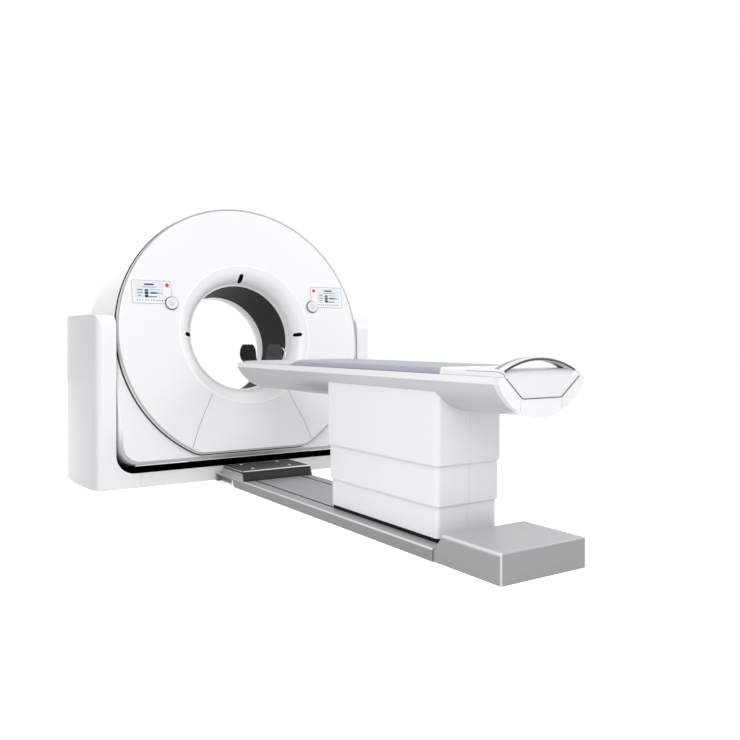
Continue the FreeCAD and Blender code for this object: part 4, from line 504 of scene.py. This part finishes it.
def new_piece(name, points, faces, material):
    """A flat-shaded mesh object at the origin from points and faces."""
    piece = added(name, mesh_of(name, points, (), faces))
    piece.data.materials.append(material)
    return piece


def placed(piece, body, slot):
    """Puts a finished piece on its body; the slot is not used."""
    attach(piece, body)


def outward(piece):
    """Makes a closed mesh's faces point outwards."""
    work = bmesh.new()
    work.from_mesh(piece.data)
    bmesh.ops.remove_doubles(work, verts=work.verts, dist=1e-6)
    bmesh.ops.recalc_face_normals(work, faces=work.faces)
    work.to_mesh(piece.data)
    work.free()


def apply_modifiers(piece):
    """Turns a piece's modifiers into its mesh."""
    graph = bpy.context.evaluated_depsgraph_get()
    mesh = bpy.data.meshes.new_from_object(piece.evaluated_get(graph))
    piece.modifiers.clear()
    piece.data = mesh
    return piece


def bevelled(name, node, width, material):
    """Stands for a plain CAD block with a copy whose upper and upright edges are rounded."""
    crease, above_floor = 0.4, 0.01
    work = bmesh.new()
    work.from_mesh(NODES[node].data)
    bmesh.ops.remove_doubles(work, verts=work.verts, dist=1e-6)
    bmesh.ops.dissolve_limit(work, angle_limit=0.01, verts=work.verts, edges=work.edges)
    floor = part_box(node)[0][2]
    edges = [edge for edge in work.edges
             if len(edge.link_faces) == 2 and edge.calc_face_angle() > crease
             and max(vertex.co.z for vertex in edge.verts) > floor + above_floor]
    bmesh.ops.bevel(work, geom=edges, offset=width, segments=6, profile=0.5,
                    affect="EDGES", clamp_overlap=True)
    bmesh.ops.recalc_face_normals(work, faces=work.faces)
    mesh = bpy.data.meshes.new(name)
    work.to_mesh(mesh)
    work.free()
    mesh.materials.append(material)
    piece = added(name, mesh)
    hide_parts(node)
    return piece


def rounded(width, height, radius, steps):
    """Outline of a rounded rectangle about its middle."""
    points = []
    corners = ((1, 1, 0), (-1, 1, 90), (-1, -1, 180), (1, -1, 270))
    for across, up, start in corners:
        for step in range(steps + 1):
            angle = math.radians(start + 90 * step / steps)
            points.append((across * (width / 2 - radius) + radius * math.cos(angle),
                           up * (height / 2 - radius) + radius * math.sin(angle)))
    return points


# ---------------- geometry trees

class Tree:
    """A Geometry Nodes tree under construction, with named inputs."""

    def __init__(self, name, **inputs):
        self.group = bpy.data.node_groups.new(name, "GeometryNodeTree")
        face = self.group.interface
        face.new_socket("Geometry", in_out="INPUT", socket_type="NodeSocketGeometry")
        for title, default in inputs.items():
            entry = face.new_socket(title, in_out="INPUT", socket_type="NodeSocketFloat")
            entry.default_value = default
        face.new_socket("Geometry", in_out="OUTPUT", socket_type="NodeSocketGeometry")
        self.start = self.group.nodes.new("NodeGroupInput")
        self.end = self.group.nodes.new("NodeGroupOutput")

    def add(self, kind, settings=None, values=None):
        node = self.group.nodes.new(kind)
        for name, setting in (settings or {}).items():
            setattr(node, name, setting)
        for key, value in (values or {}).items():
            if isinstance(value, bpy.types.NodeSocket):
                self.group.links.new(value, node.inputs[key])
            else:
                node.inputs[key].default_value = value
        return node

    def given(self, title):
        return self.start.outputs[title]

    def finish(self, geometry, material):
        """Ends the tree in Realize Instances and Set Material."""
        real = self.add("GeometryNodeRealizeInstances", None, {0: geometry})
        dressed = self.add("GeometryNodeSetMaterial", None,
                           {"Geometry": real.outputs[0], "Material": material})
        self.group.links.new(dressed.outputs[0], self.end.inputs[0])
        return self.group


def grown(name, tree, values, start_mesh=None):
    """A plain mesh object made by a tree with the given inputs."""
    piece = added(name, start_mesh or bpy.data.meshes.new(name))
    step = piece.modifiers.new("grow", "NODES")
    step.node_group = tree
    for item in tree.interface.items_tree:
        if item.in_out == "INPUT" and item.name in values:
            step[item.identifier] = values[item.name]
    apply_modifiers(piece)
    piece.data.shade_smooth()
    return piece


def hoop_tree(material):
    """A flat crowned band bent along an arc that stands on its two feet."""
    tree = Tree("Hoop Band", Radius=0.5, Sweep=1.0, Width=0.06, Thickness=0.012)
    begin = tree.add("ShaderNodeMath", {"operation": "SUBTRACT"},
                     {0: math.pi / 2, 1: tree.given("Sweep")})
    whole = tree.add("ShaderNodeMath", {"operation": "MULTIPLY"},
                     {0: tree.given("Sweep"), 1: 2.0})
    path = tree.add("GeometryNodeCurveArc", {"mode": "RADIUS"},
                    {"Resolution": 72, "Radius": tree.given("Radius"),
                     "Start Angle": begin.outputs[0], "Sweep Angle": whole.outputs[0]})
    circle = tree.add("GeometryNodeCurvePrimitiveCircle", None,
                      {"Resolution": 40, "Radius": 0.5})
    spread = tree.add("ShaderNodeCombineXYZ", None,
                      {0: tree.given("Thickness"), 1: tree.given("Width"), 2: 1.0})
    oval = tree.add("GeometryNodeTransform", None,
                    {"Geometry": circle.outputs[0], "Scale": spread.outputs[0]})
    band = tree.add("GeometryNodeCurveToMesh", None,
                    {"Curve": path.outputs[0], "Profile Curve": oval.outputs[0],
                     "Fill Caps": True})
    return tree.finish(band.outputs[0], material)


def head_tree(material):
    """Low tapered heads set on the points that they are given."""
    tree = Tree("Screw Heads", Radius=0.012, Rise=0.0025)
    top = tree.add("ShaderNodeMath", {"operation": "MULTIPLY"},
                   {0: tree.given("Radius"), 1: 0.7})
    head = tree.add("GeometryNodeMeshCone", None,
                    {"Vertices": 28, "Radius Top": top.outputs[0],
                     "Radius Bottom": tree.given("Radius"), "Depth": tree.given("Rise")})
    placed = tree.add("GeometryNodeInstanceOnPoints", None,
                      {"Points": tree.given("Geometry"), "Instance": head.outputs[0]})
    return tree.finish(placed.outputs[0], material)


def bead_tree(material):
    """A round bead along the edges that it is given."""
    tree = Tree("Line Bead", Radius=0.0012)
    path = tree.add("GeometryNodeMeshToCurve", None, {"Mesh": tree.given("Geometry")})
    section = tree.add("GeometryNodeCurvePrimitiveCircle", None,
                       {"Resolution": 8, "Radius": tree.given("Radius")})
    bead = tree.add("GeometryNodeCurveToMesh", None,
                    {"Curve": path.outputs[0], "Profile Curve": section.outputs[0]})
    return tree.finish(bead.outputs[0], material)


def beading(name, runs, radius, material, closed=True):
    """A strip along runs of points, for seams, painted shadow lines and painted highlight lines."""
    points, edges = [], []
    for run in runs:
        start = len(points)
        points += run
        count = len(run)
        links = count if closed else count - 1
        edges += [(start + step, start + (step + 1) % count) for step in range(links)]
    mesh = mesh_of(name, points, edges)
    piece = grown(name, bead_tree(material), {"Radius": radius}, mesh)
    outward(piece)
    return piece


# ---------------- operators

class SCANNER_OT_studio(bpy.types.Operator):
    """Builds the floor, the soft lights and the camera"""
    bl_idname = "scanner.studio"
    bl_label = "Studio"

    def execute(self, context):
        wish = context.scene.scanner_studio
        self.floor()
        self.world(context, wish)
        self.lamp("key_lamp", (-3.2, -5.2, 4.6), (0.0, -1.2, 0.7), 4.0, wish.key)
        self.lamp("side_lamp", (3.8, -3.4, 3.2), (0.0, -1.4, 0.7), 3.0, wish.fill)
        self.lamp("top_lamp", (0.0, 1.5, 5.5), (0.0, -0.5, 0.8), 4.0, wish.fill)
        self.lamp("low_lamp", (-1.7, -5.2, 0.8), (-0.3, -0.4, 0.35), 3.0, wish.fill * 0.6)
        self.lamp("back_lamp", (0.4, 4.6, 1.8), (0.0, 0.3, 0.9), 3.0, wish.fill * 0.2)
        self.camera(context, wish)
        context.scene.view_settings.view_transform = "Standard"
        return {"FINISHED"}

    def floor(self):
        """A pale floor that the camera and mirrors see nearly white."""
        finish = Finish("studio_floor")
        tint = finish.mixed(finish.noise(finish.place(), 0.4), (0.80,) * 3, (0.82,) * 3)
        matt_floor = finish.node("ShaderNodeBsdfDiffuse", None, {"Color": tint})
        glow = finish.node("ShaderNodeEmission", None,
                           {"Color": WHITE, "Strength": finish.rays("Camera", "Glossy") * 0.75})
        finish.end(finish.node("ShaderNodeAddShader", None, {0: matt_floor, 1: glow}))
        reach = 14.0
        corners = [(-reach, -reach, 0), (reach, -reach, 0), (reach, reach, 0), (-reach, reach, 0)]
        new_piece("floor", corners, [(0, 1, 2, 3)], finish.material)

    def world(self, context, wish):
        """Even light; camera, mirror and glass rays see plain white."""
        context.scene.world = bpy.data.worlds.new("soft_room")
        sky = Finish("soft_room", context.scene.world)
        room = sky.node("ShaderNodeBackground", None, {"Color": WHITE, "Strength": wish.room})
        plain_white = sky.node("ShaderNodeBackground", None, {"Color": WHITE})
        seen = sky.rays("Camera", "Glossy", "Transmission")
        sky.end(sky.node("ShaderNodeMixShader", None, {0: seen, 1: room, 2: plain_white}))

    def lamp(self, name, where, aim, size, power):
        data = bpy.data.lights.new(name, "AREA")
        data.shape = "SQUARE"
        data.size = size
        data.energy = power
        lamp = added(name, data)
        lamp.visible_camera = False
        lamp.location = where
        lamp.rotation_euler = (Vector(aim) - Vector(where)).to_track_quat("-Z", "Y").to_euler()

    def camera(self, context, wish):
        data = bpy.data.cameras.new("photo_view")
        data.lens = wish.lens
        data.sensor_width = 36.0
        data.shift_x = -0.0139
        data.shift_y = -0.0423
        data.clip_end = 60.0
        camera = added("photo_view", data)
        camera.location = (-2.4290, -5.6516, 0.9892)
        camera.rotation_euler = (math.radians(90), 0.0, math.radians(-34))
        context.scene.camera = camera


class SCANNER_OT_covers(bpy.types.Operator):
    """Gives every moulded cover its satin finish, with painted shade on some covers' sides, ends and
    undersides
    """
    bl_idname = "scanner.covers"
    bl_label = "Covers"

    def execute(self, context):
        wish = context.scene.scanner_covers
        white = tuple(wish.white)
        cover = moulded("white_cover", white, 0.30, wish.grain)
        # Painted shade: past this distance from the middle, the pillars' outer sides turn to the
        # greyer colour
        shaded_side_from = 1.035
        pillar = two_tone("pillar_cover_shaded_side", white, tuple(wish.side), 0, shaded_side_from, 0.02, wish.grain)
        paint(pillar, "left_pillar_cover", "right_pillar_cover")
        # Painted shade: the pedestal's covers turn darker near their foot end, standing in for the
        # shadow under the table's overhang
        foot = -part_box("upper_cover")[0][1]
        corner, blend = 0.03, 0.025
        table = tuple(wish.table)
        column = two_tone("column_cover_shaded_end", table, shade(table, 0.90), 1, foot - corner, blend,
                          wish.grain)
        paint(column, "lower_cover", "middle_cover", "upper_cover")
        paint(cover, "base_front_cover", "base_rear_cover", "front_cover", "lower_front_panel")
        paint(lipped("shell_cover_shaded_lip", white, tuple(wish.lip), wish.grain), "gantry_shell")
        paint(moulded("flare_cover", white, 0.26, wish.grain), "front_flare")
        paint(moulded("panel_cover", shade(white, 1.01), 0.22, wish.grain), "control_panels")
        paint(moulded("rear_cover", shade(white, 0.96), 0.34, wish.grain), "rear_flare",
              "rear_bore_ring")
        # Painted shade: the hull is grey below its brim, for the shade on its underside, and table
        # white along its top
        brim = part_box("table_hull")[1][2] - 0.030
        paint(two_tone("hull_cover_shaded_underside", tuple(wish.hull), table, 2, brim, 0.002, wish.grain),
              "table_hull")
        paint(moulded("cap_cover", shade(table, 1.06), 0.28, wish.grain), "hull_end_cap")
        paint(moulded("cradle_cover", table, 0.26, wish.grain), "cradle", "cradle_end_block")
        paint(dark_liner("bore_lining", tuple(wish.liner)), "bore_liner")
        # Painted light: the trough liner is near black below this height and mid grey above it,
        # lightening the shaded gap beside the gantry shell
        dark_below = 0.165
        paint(lined("trough_lining", (0.50, 0.50, 0.51), (0.006, 0.006, 0.006), dark_below, 2),
              "trough_liner")
        paint(dark_liner("window_black", (0.0015, 0.0015, 0.002), 0.03), "laser_windows")
        # Painted shadow: behind the second distance the trim ring is near black
        front_at, shadow_behind = 0.3405, 0.312
        paint(ring_paint("ring_grey", (0.44, 0.44, 0.45), (0.90, 0.90, 0.91),
                         (0.015, 0.015, 0.016), front_at, shadow_behind), "trim_ring")
        return {"FINISHED"}


class SCANNER_OT_metalwork(bpy.types.Operator):
    """Finishes the rail, its blocks, the bracket, the screws and the columns"""
    bl_idname = "scanner.metalwork"
    bl_label = "Metalwork"

    def execute(self, context):
        rail = tuple(context.scene.scanner_covers.rail)
        slot_middle = 0.168
        # Painted shade and highlights: the rail's sides darker than its top, its top edges bright
        paint(extruded("rail_metal", "rail_bed", rail, shade(rail, 0.54), (0.88, 0.88, 0.89),
                       0.009, False, slot_middle), "rail_bed", "rail_head_block")
        paint(brushed("cheek_metal", shade(rail, 0.9), "Y", 0.42), "bracket_cheeks")
        # Painted shade and highlights: the end block's top lighter than its sides, its edges and
        # corners bright
        block = extruded("block_metal", "rail_end_block", shade(rail, 1.14), shade(rail, 0.66),
                         (0.72, 0.72, 0.73), 0.018, True)
        foot = bevelled("rail_foot_block", "rail_end_block", 0.008, block)
        placed(foot, "stand", "block_metal")
        paint(lacquered("bracket_lacquer", (0.020, 0.020, 0.021)), "rail_bracket")
        self.bracket_trim()
        paint(brushed("screw_metal", (0.62, 0.62, 0.63), "X", 0.35, 0.3), "bracket_screws")
        paint(brushed("fitting_chrome", (0.90, 0.90, 0.91), "Z", 0.30, 0.35), "anchor_fittings")
        paint(brushed("strip_metal", (0.80, 0.80, 0.81), "X", 0.25, 0.1), "touch_strip")
        paint(brushed("column_metal", (0.58, 0.58, 0.60), "Z", 0.30), "lift_column_outer",
              "lift_column_middle", "lift_column_inner")
        return {"FINISHED"}

    def bracket_trim(self):
        """Bright beads that paint the highlights on the bracket plate's folded edges, and the caps
        over its screws.
        """
        bright = polished("fold_metal", (0.88, 0.88, 0.89), 0.30)
        low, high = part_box("rail_bracket")
        slope_depth, bead_sink = 0.0265, 0.002
        front = low[1] + slope_depth
        top = high[2] - bead_sink
        # Painted highlight: bright polished beads along the plate's front fold and along its side
        # edges
        fold_highlight = beading("bracket_fold_highlight", [[(low[0], front, top), (high[0], front, top)]], 0.0042,
                       bright, False)
        flanks = [[(side * high[0], front, top), (side * high[0], high[1], top)]
                  for side in SIDES]
        edges = beading("bracket_edge_highlights", flanks, 0.0022, bright, False)
        low_screw, high_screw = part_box("bracket_screws")
        screw = 0.008       # radius of a screw of the CAD model
        places = [(x, y, high[2] + 0.0001) for x in (low_screw[0] + screw, high_screw[0] - screw)
                  for y in (low_screw[1] + screw, high_screw[1] - screw)]
        heads = grown("screw_caps", head_tree(bright), {"Radius": 0.0125, "Rise": 0.003},
                      mesh_of("screw_places", places))
        outward(heads)
        for piece in (fold_highlight, edges, heads):
            placed(piece, "stand", "bright_chrome")


class SCANNER_OT_machinery(bpy.types.Operator):
    """Finishes the frames, bearings, motors and the turning disc inside"""
    bl_idname = "scanner.machinery"
    bl_label = "Machinery"

    def execute(self, context):
        paint(cast_paint("frame_paint", (0.12, 0.13, 0.14), 0.45), "base_frame", "stator_frame")
        paint(lined("carriage_paint", (0.010, 0.010, 0.011), (0.014, 0.014, 0.015), 0.1),
              "carriage")
        paint(brushed("bearing_steel", (0.50, 0.51, 0.53), "X", 0.24), "tilt_bearings",
              "tilt_pins", "main_bearing_outer", "main_bearing_inner")
        paint(cast_paint("motor_grey", (0.16, 0.17, 0.18), 0.40), "tilt_gear_motor",
              "ring_motor_stator", "lift_motor", "generator", "cooler")
        paint(brushed("disc_alloy", (0.55, 0.56, 0.57), "X", 0.32), "rotor_disc", "slip_ring")
        paint(brushed("tube_housing", (0.46, 0.47, 0.49), "Y", 0.28), "xray_source")
        paint(cast_paint("detector_grey", (0.24, 0.25, 0.27), 0.38), "detector_arc")
        return {"FINISHED"}


class SCANNER_OT_controls(bpy.types.Operator):
    """Finishes the two control panels and draws plain marks on their screens"""
    bl_idname = "scanner.controls"
    bl_label = "Controls"
    screen_middle = 0.6975      # of each screen, from the gantry's middle
    knob_middle = (0.547, 0.208)
    panel_outline = ((0.545, 0.362), (0.814, 0.362), (0.814, 0.205), (0.593, 0.205),
                     (0.545, 0.253))

    def execute(self, context):
        paint(glowing("screen_field", (0.64, 0.68, 0.72), 0.16), "screens")
        paint(cast_paint("key_print", (0.06, 0.065, 0.08), 0.5), "touch_keys")
        red = moulded("stop_red", (0.78, 0.012, 0.024), 0.24, 0.002, 0.6)
        paint(red, "stop_button_left", "stop_button_right")
        knob = moulded("knob_white", (0.80, 0.81, 0.82), 0.24, 0.003, 0.4)
        paint(knob, "knob_left", "knob_right")
        key = moulded("key_white", (0.70, 0.71, 0.72), 0.28, 0.003, 0.4)
        paint(key, "push_key_left", "push_key_right")
        self.marks()
        self.outline_beads()
        return {"FINISHED"}

    def marks(self):
        """Plain bars and fields: a title, three rows, a picture column and a profile."""
        navy = glowing("mark_navy", (0.006, 0.014, 0.040), 0.03)
        slate = glowing("mark_slate", (0.06, 0.09, 0.13), 0.05)
        pale = glowing("mark_pale", (0.80, 0.83, 0.87), 0.12)
        looks = (navy, slate, pale)
        lifts = (0.0008, 0.0006, 0.0004)    # of navy, slate and pale fields above the glass
        # across from the screen's middle, up from the isocentre, width and height in mm
        bars = [(0, 335, 66, 10, 0), (0, 317, 100, 3, 1), (-64, 297, 32, 6, 1),
                (-64, 277, 40, 4, 1), (-66, 258, 20, 5, 1), (-19, 275, 28, 62, 2),
                (-19, 294, 25, 16, 1), (-19, 275, 25, 18, 0), (-19, 254, 25, 18, 0),
                (38, 298, 66, 2.5, 1), (38, 266, 84, 9, 2), (34, 275, 66, 7, 1),
                (30, 276, 40, 11, 0), (78, 273, 22, 3, 1), (22, 250, 56, 6, 1)]
        face = foremost("screens")
        points, faces = [], []
        for side in SIDES:
            for x, up, wide, tall, look in bars:
                start = len(points)
                outline = rounded(wide / 1000, tall / 1000, min(wide, tall) / 12000, 1)
                points += [on_gantry(x / 1000 + side * self.screen_middle + a,
                                     face + lifts[look], up / 1000 + b) for a, b in outline]
                faces.append(tuple(range(start, start + len(outline))))
        piece = new_piece("screen_marks", points, faces, navy)
        for look in looks[1:]:
            piece.data.materials.append(look)
        for polygon, bar in zip(piece.data.polygons, bars * 2):
            polygon.material_index = bar[-1]
        placed(piece, "gantry", "screen_glass")

    def outline_beads(self):
        """Grey strips round the panels, marking their joints and painting the shade at their stepped
        edges, and a darker one round each knob, painting the shadow in its gap.
        """
        # Painted shade: the panel strips stand for the joints and the shade at the panels' stepped
        # edges; the darker knob strips stand for the shadow in each knob's gap
        rubber = cast_paint("panel_line_grey", (0.52, 0.52, 0.53), 0.5)
        dark = cast_paint("knob_gap_shadow", (0.13, 0.13, 0.135), 0.5)
        face = foremost("screens")
        knob_top = foremost("knob_left") + 0.0002
        across, up = self.knob_middle
        corner, knob_radius, key_radius = 0.012, 0.044, 0.018
        panels = [[on_gantry(side * x, face, height)
                   for x, height in softened(self.panel_outline, corner)] for side in SIDES]
        knobs = [face_ring(side * across, face + 0.001, up, knob_radius, 48) for side in SIDES]
        rings = [face_ring(side * across, knob_top, up, key_radius, 36) for side in SIDES]
        for name, runs, radius, look, body in (
                ("panel_lines", panels, 0.0020, rubber, "gantry"),
                ("knob_gap_shadows", knobs, 0.0036, dark, "gantry"),
                ("knob_ring_left", rings[:1], 0.0013, rubber, "knob_left"),
                ("knob_ring_right", rings[1:], 0.0013, rubber, "knob_right")):
            placed(beading(name, runs, radius, look), body, "trim_grey")


class SCANNER_OT_mattress(bpy.types.Operator):
    """Pads the mattress and welds its seam"""
    bl_idname = "scanner.mattress"
    bl_label = "Mattress"

    def execute(self, context):
        wish = context.scene.scanner_table
        sheet_from = -1.40
        cloth = coated_cloth("mattress_cloth", shade(wish.cloth, 0.94), tuple(wish.sheet),
                             sheet_from)
        pad = self.core()
        shell = pad.modifiers.new("skin", "REMESH")
        shell.mode = "VOXEL"
        shell.voxel_size = wish.voxel
        apply_modifiers(pad)
        self.swell(pad, wish.puff)
        self.settle(pad)
        pad.data.shade_smooth()
        pad.data.materials.clear()
        pad.data.materials.append(cloth)
        placed(pad, "cradle", "mat_cloth")
        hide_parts("mattress")
        return {"FINISHED"}

    def core(self):
        """The pad's plain form."""
        pad = added("mattress_pad", NODES["mattress"].data.copy())
        outward(pad)
        return pad

    def swell(self, pad, limit):
        """Blows the pad up like foam in its cover, held to a small change."""
        rest = [vertex.co.copy() for vertex in pad.data.vertices]
        cloth = pad.modifiers.new("cloth", "CLOTH")
        cloth.settings.use_pressure = True
        cloth.settings.uniform_pressure_force = 4.0
        cloth.settings.effector_weights.gravity = 0.0
        cloth.settings.quality = 5
        steps = 20
        cloth.point_cache.frame_start = 1
        cloth.point_cache.frame_end = steps
        scene = bpy.context.scene
        for frame_number in range(1, steps + 1):
            scene.frame_set(frame_number)
        apply_modifiers(pad)
        scene.frame_set(1)
        for vertex, start in zip(pad.data.vertices, rest):
            step = vertex.co - start
            if step.length > limit:
                vertex.co = start + step * (limit / step.length)

    def settle(self, pad):
        """Keeps the pad inside the space of its solid, but for a little crown."""
        low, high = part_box("mattress")
        crown = 0.002
        for vertex in pad.data.vertices:
            for axis in range(3):
                vertex.co[axis] = min(max(vertex.co[axis], low[axis]), high[axis] + crown)


class SCANNER_OT_handle(bpy.types.Operator):
    """Bends the hoop handle over the cradle's end"""
    bl_idname = "scanner.handle"
    bl_label = "Hoop Handle"

    def execute(self, context):
        wish = context.scene.scanner_table
        low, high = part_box("hoop_handle")
        middle = (low.y + high.y) / 2
        metal = banded("hoop_satin", tuple(wish.hoop), middle, -0.004, -0.035)
        half = (high.x - low.x) / 2
        rise = high.z - low.z
        thick = 0.018
        radius = (half * half + rise * rise) / (2 * rise) - thick / 2
        sweep = math.asin(min(1.0, half / (radius + thick / 2)))
        hoop = grown("hoop_band", hoop_tree(metal),
                     {"Radius": radius, "Sweep": sweep, "Width": high.y - low.y,
                      "Thickness": thick})
        stand_up = Matrix.Rotation(math.radians(90), 4, "X")
        hoop.data.transform(stand_up)
        hoop.data.transform(Matrix.Translation((0, middle, high.z - thick / 2 - radius)))
        outward(hoop)
        placed(hoop, "cradle", "hoop_silver")
        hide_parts("hoop_handle")
        return {"FINISHED"}


class SCANNER_OT_headrest(bpy.types.Operator):
    """Finishes the head holder and bends a bright bead that paints a highlight beside its right ear
    """
    bl_idname = "scanner.headrest"
    bl_label = "Head Holder"

    def execute(self, context):
        inner_face = 0.0985
        paint(lined("holder_shell", (0.008, 0.008, 0.009), (0.080, 0.081, 0.083), inner_face),
              "head_holder")
        highlight_steel = polished("ear_highlight_steel", (0.85, 0.85, 0.86), 0.22)
        across, middle, height = 0.103, -0.662, 0.876
        length, rise = 0.071, 0.052
        # Painted highlight: a bright polished crescent beside the right ear
        bow = [(across, middle - length * math.sin(turn), height + rise * math.cos(turn))
               for turn in [math.pi * step / 16 for step in range(17)]]
        crescent_highlight = beading("ear_rim_highlight", [bow], 0.0032, highlight_steel, False)
        placed(crescent_highlight, "cradle", "bright_chrome")
        return {"FINISHED"}


class SCANNER_OT_seams(bpy.types.Operator):
    """Lays the table's painted shadow lines and seams and the fine lines of the gantry's face"""
    bl_idname = "scanner.seams"
    bl_label = "Seams"

    def execute(self, context):
        # Painted shadow: a near-black bead for the shade in the cap's recess, in the hull's slot and
        # in the end block's gap
        recess_shadow = cast_paint("recess_seal", (0.10, 0.10, 0.105), 0.5)
        self.table_lines(recess_shadow)
        self.face_lines()
        plug = [(-0.150, y, 0.719) for y in (-2.766, -2.784)]
        self.strip("hull_plug", [plug], 0.0034, recess_shadow, "table")
        return {"FINISHED"}

    def table_lines(self, recess_shadow):
        """The recess's painted shadow line, the end cap's seams and the end block's painted shadow
        gap.
        """
        faint = cast_paint("cap_seam", (0.50, 0.50, 0.51), 0.5)
        brim, corner, floor = (0.214, 0.8305), 0.1135, 0.7420
        ends = [(side * brim[0], brim[1]) for side in SIDES]
        bend = softened([ends[0], (-corner, floor), (corner, floor), ends[1]], 0.012)[5:-5]
        run = [self.on_cap(x, z) for x, z in [ends[0]] + bend + [ends[1]]]
        self.strip("recess_seal", [run], 0.0022, recess_shadow, "table")
        seam_at, seam_step = 0.1195, 0.0105
        seams = [[self.on_cap(side * seam_at, floor - seam_step * step) for step in range(6)]
                 for side in SIDES]
        self.strip("cap_seams", seams, 0.0009, faint, "table")
        flank = 0.2158
        gap = ((-3.031, 0.8535), (-3.222, 0.8545), (-3.240, 0.8525), (-3.255, 0.846),
               (-3.265, 0.836))
        self.strip("block_shadow_gap", [[(side * flank, y, z) for y, z in gap] for side in SIDES],
                   0.0011, recess_shadow, "cradle")

    def face_lines(self):
        """The flare's rim as a glowing painted highlight, the front panel's seams, the disc's
        painted shadow gap, and glowing touch lines of painted light.
        """
        white = glowing("rim_highlight_glow", (0.95, 0.95, 0.95), 0.12)
        seam = cast_paint("panel_seam", (0.16, 0.16, 0.165), 0.5)
        shadow = cast_paint("gap_shadow_black", (0.008, 0.008, 0.008), 0.6)
        lit = glowing("touch_glow_line", (0.80, 0.81, 0.82), 0.25)
        # Painted highlight: a glowing white bead on the flare's rolled rim, where it catches the
        # light
        rim_radius = 0.499
        rim = face_ring(0.0, FACE, 0.0, rim_radius, 120)
        self.strip("flare_rim_line", [rim], 0.0034, white, "gantry", True)
        run = ((0.2915, -0.4205), (0.4040, -0.6430), (0.4541, -0.7789))
        panel = [[on_gantry(side * x, FACE - 0.0004, up) for x, up in run] for side in SIDES]
        self.strip("panel_seams", panel, 0.0013, seam, "gantry")
        # Painted shadow: a near-black bead round the disc's back, for the shadow where it stands
        # proud of the shell
        radius, flat, corner = 0.9255, 0.8335, 0.152
        gap = self.disc_edge(radius, flat, corner)
        self.strip("disc_gap", [gap], 0.0036, shadow, "gantry", True)
        # Painted light: glowing pale lines on the touch strip, which is no lamp, so that it reads
        # light in the shade under the gantry
        forward, up = 0.281, -0.869
        lines = [[on_gantry(side * x, forward, up) for x in (0.470, 0.829)] for side in SIDES]
        self.strip("touch_lines", lines, 0.0026, lit, "gantry")

    def disc_edge(self, radius, flat, corner):
        """The disc's outline at its back: a circle turned into a flat underside."""
        back = 0.2936
        up = corner - flat
        across = math.sqrt((radius - corner) ** 2 - up * up)
        turn = math.degrees(math.atan2(up, across))
        points = []
        for step in range(49):
            angle = math.radians(90 + (turn - 90) * step / 48)
            points.append((radius * math.cos(angle), radius * math.sin(angle)))
        for step in range(1, 9):
            angle = math.radians(turn + (-90 - turn) * step / 8)
            points.append((across + corner * math.cos(angle), up + corner * math.sin(angle)))
        points += [(-x, height) for x, height in reversed(points[1:])]
        return [on_gantry(x, back, height) for x, height in points]

    def on_cap(self, x, z):
        """A point on the end cap's face, which leans in below the hull's top."""
        low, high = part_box("hull_end_cap")
        lean = 0.019 * (high[2] - z) / (high[2] - low[2])
        return (x, low[1] + lean - 0.0004, z)

    def strip(self, name, runs, radius, material, body, closed=False):
        placed(beading(name, runs, radius, material, closed), body, "trim_grey")


OPERATORS = [SCANNER_OT_studio, SCANNER_OT_covers, SCANNER_OT_metalwork, SCANNER_OT_machinery,
             SCANNER_OT_controls, SCANNER_OT_mattress, SCANNER_OT_handle, SCANNER_OT_headrest,
             SCANNER_OT_seams]


class SCANNER_PT_panel(bpy.types.Panel):
    """Lists the scanner's steps"""
    bl_idname = "SCANNER_PT_panel"
    bl_label = "Scanner Dressing"
    bl_space_type = "VIEW_3D"
    bl_region_type = "UI"
    bl_category = "Scanner"

    def draw(self, context):
        for step in OPERATORS:
            self.layout.operator(step.bl_idname)


PROPERTIES = [(ScannerCovers, "scanner_covers"), (ScannerTable, "scanner_table"),
              (ScannerStudio, "scanner_studio")]


def register():
    for group, name in PROPERTIES:
        bpy.utils.register_class(group)
        setattr(bpy.types.Scene, name, bpy.props.PointerProperty(type=group))
    for entry in OPERATORS + [SCANNER_PT_panel]:
        bpy.utils.register_class(entry)


def unregister():
    for entry in reversed(OPERATORS + [SCANNER_PT_panel]):
        bpy.utils.unregister_class(entry)
    for group, name in reversed(PROPERTIES):
        delattr(bpy.types.Scene, name)
        bpy.utils.unregister_class(group)


def main():
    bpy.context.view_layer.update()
    register()
    for step in OPERATORS:
        group, name = step.bl_idname.split(".")
        getattr(getattr(bpy.ops, group), name)()


if __name__ == "__main__":
    main()
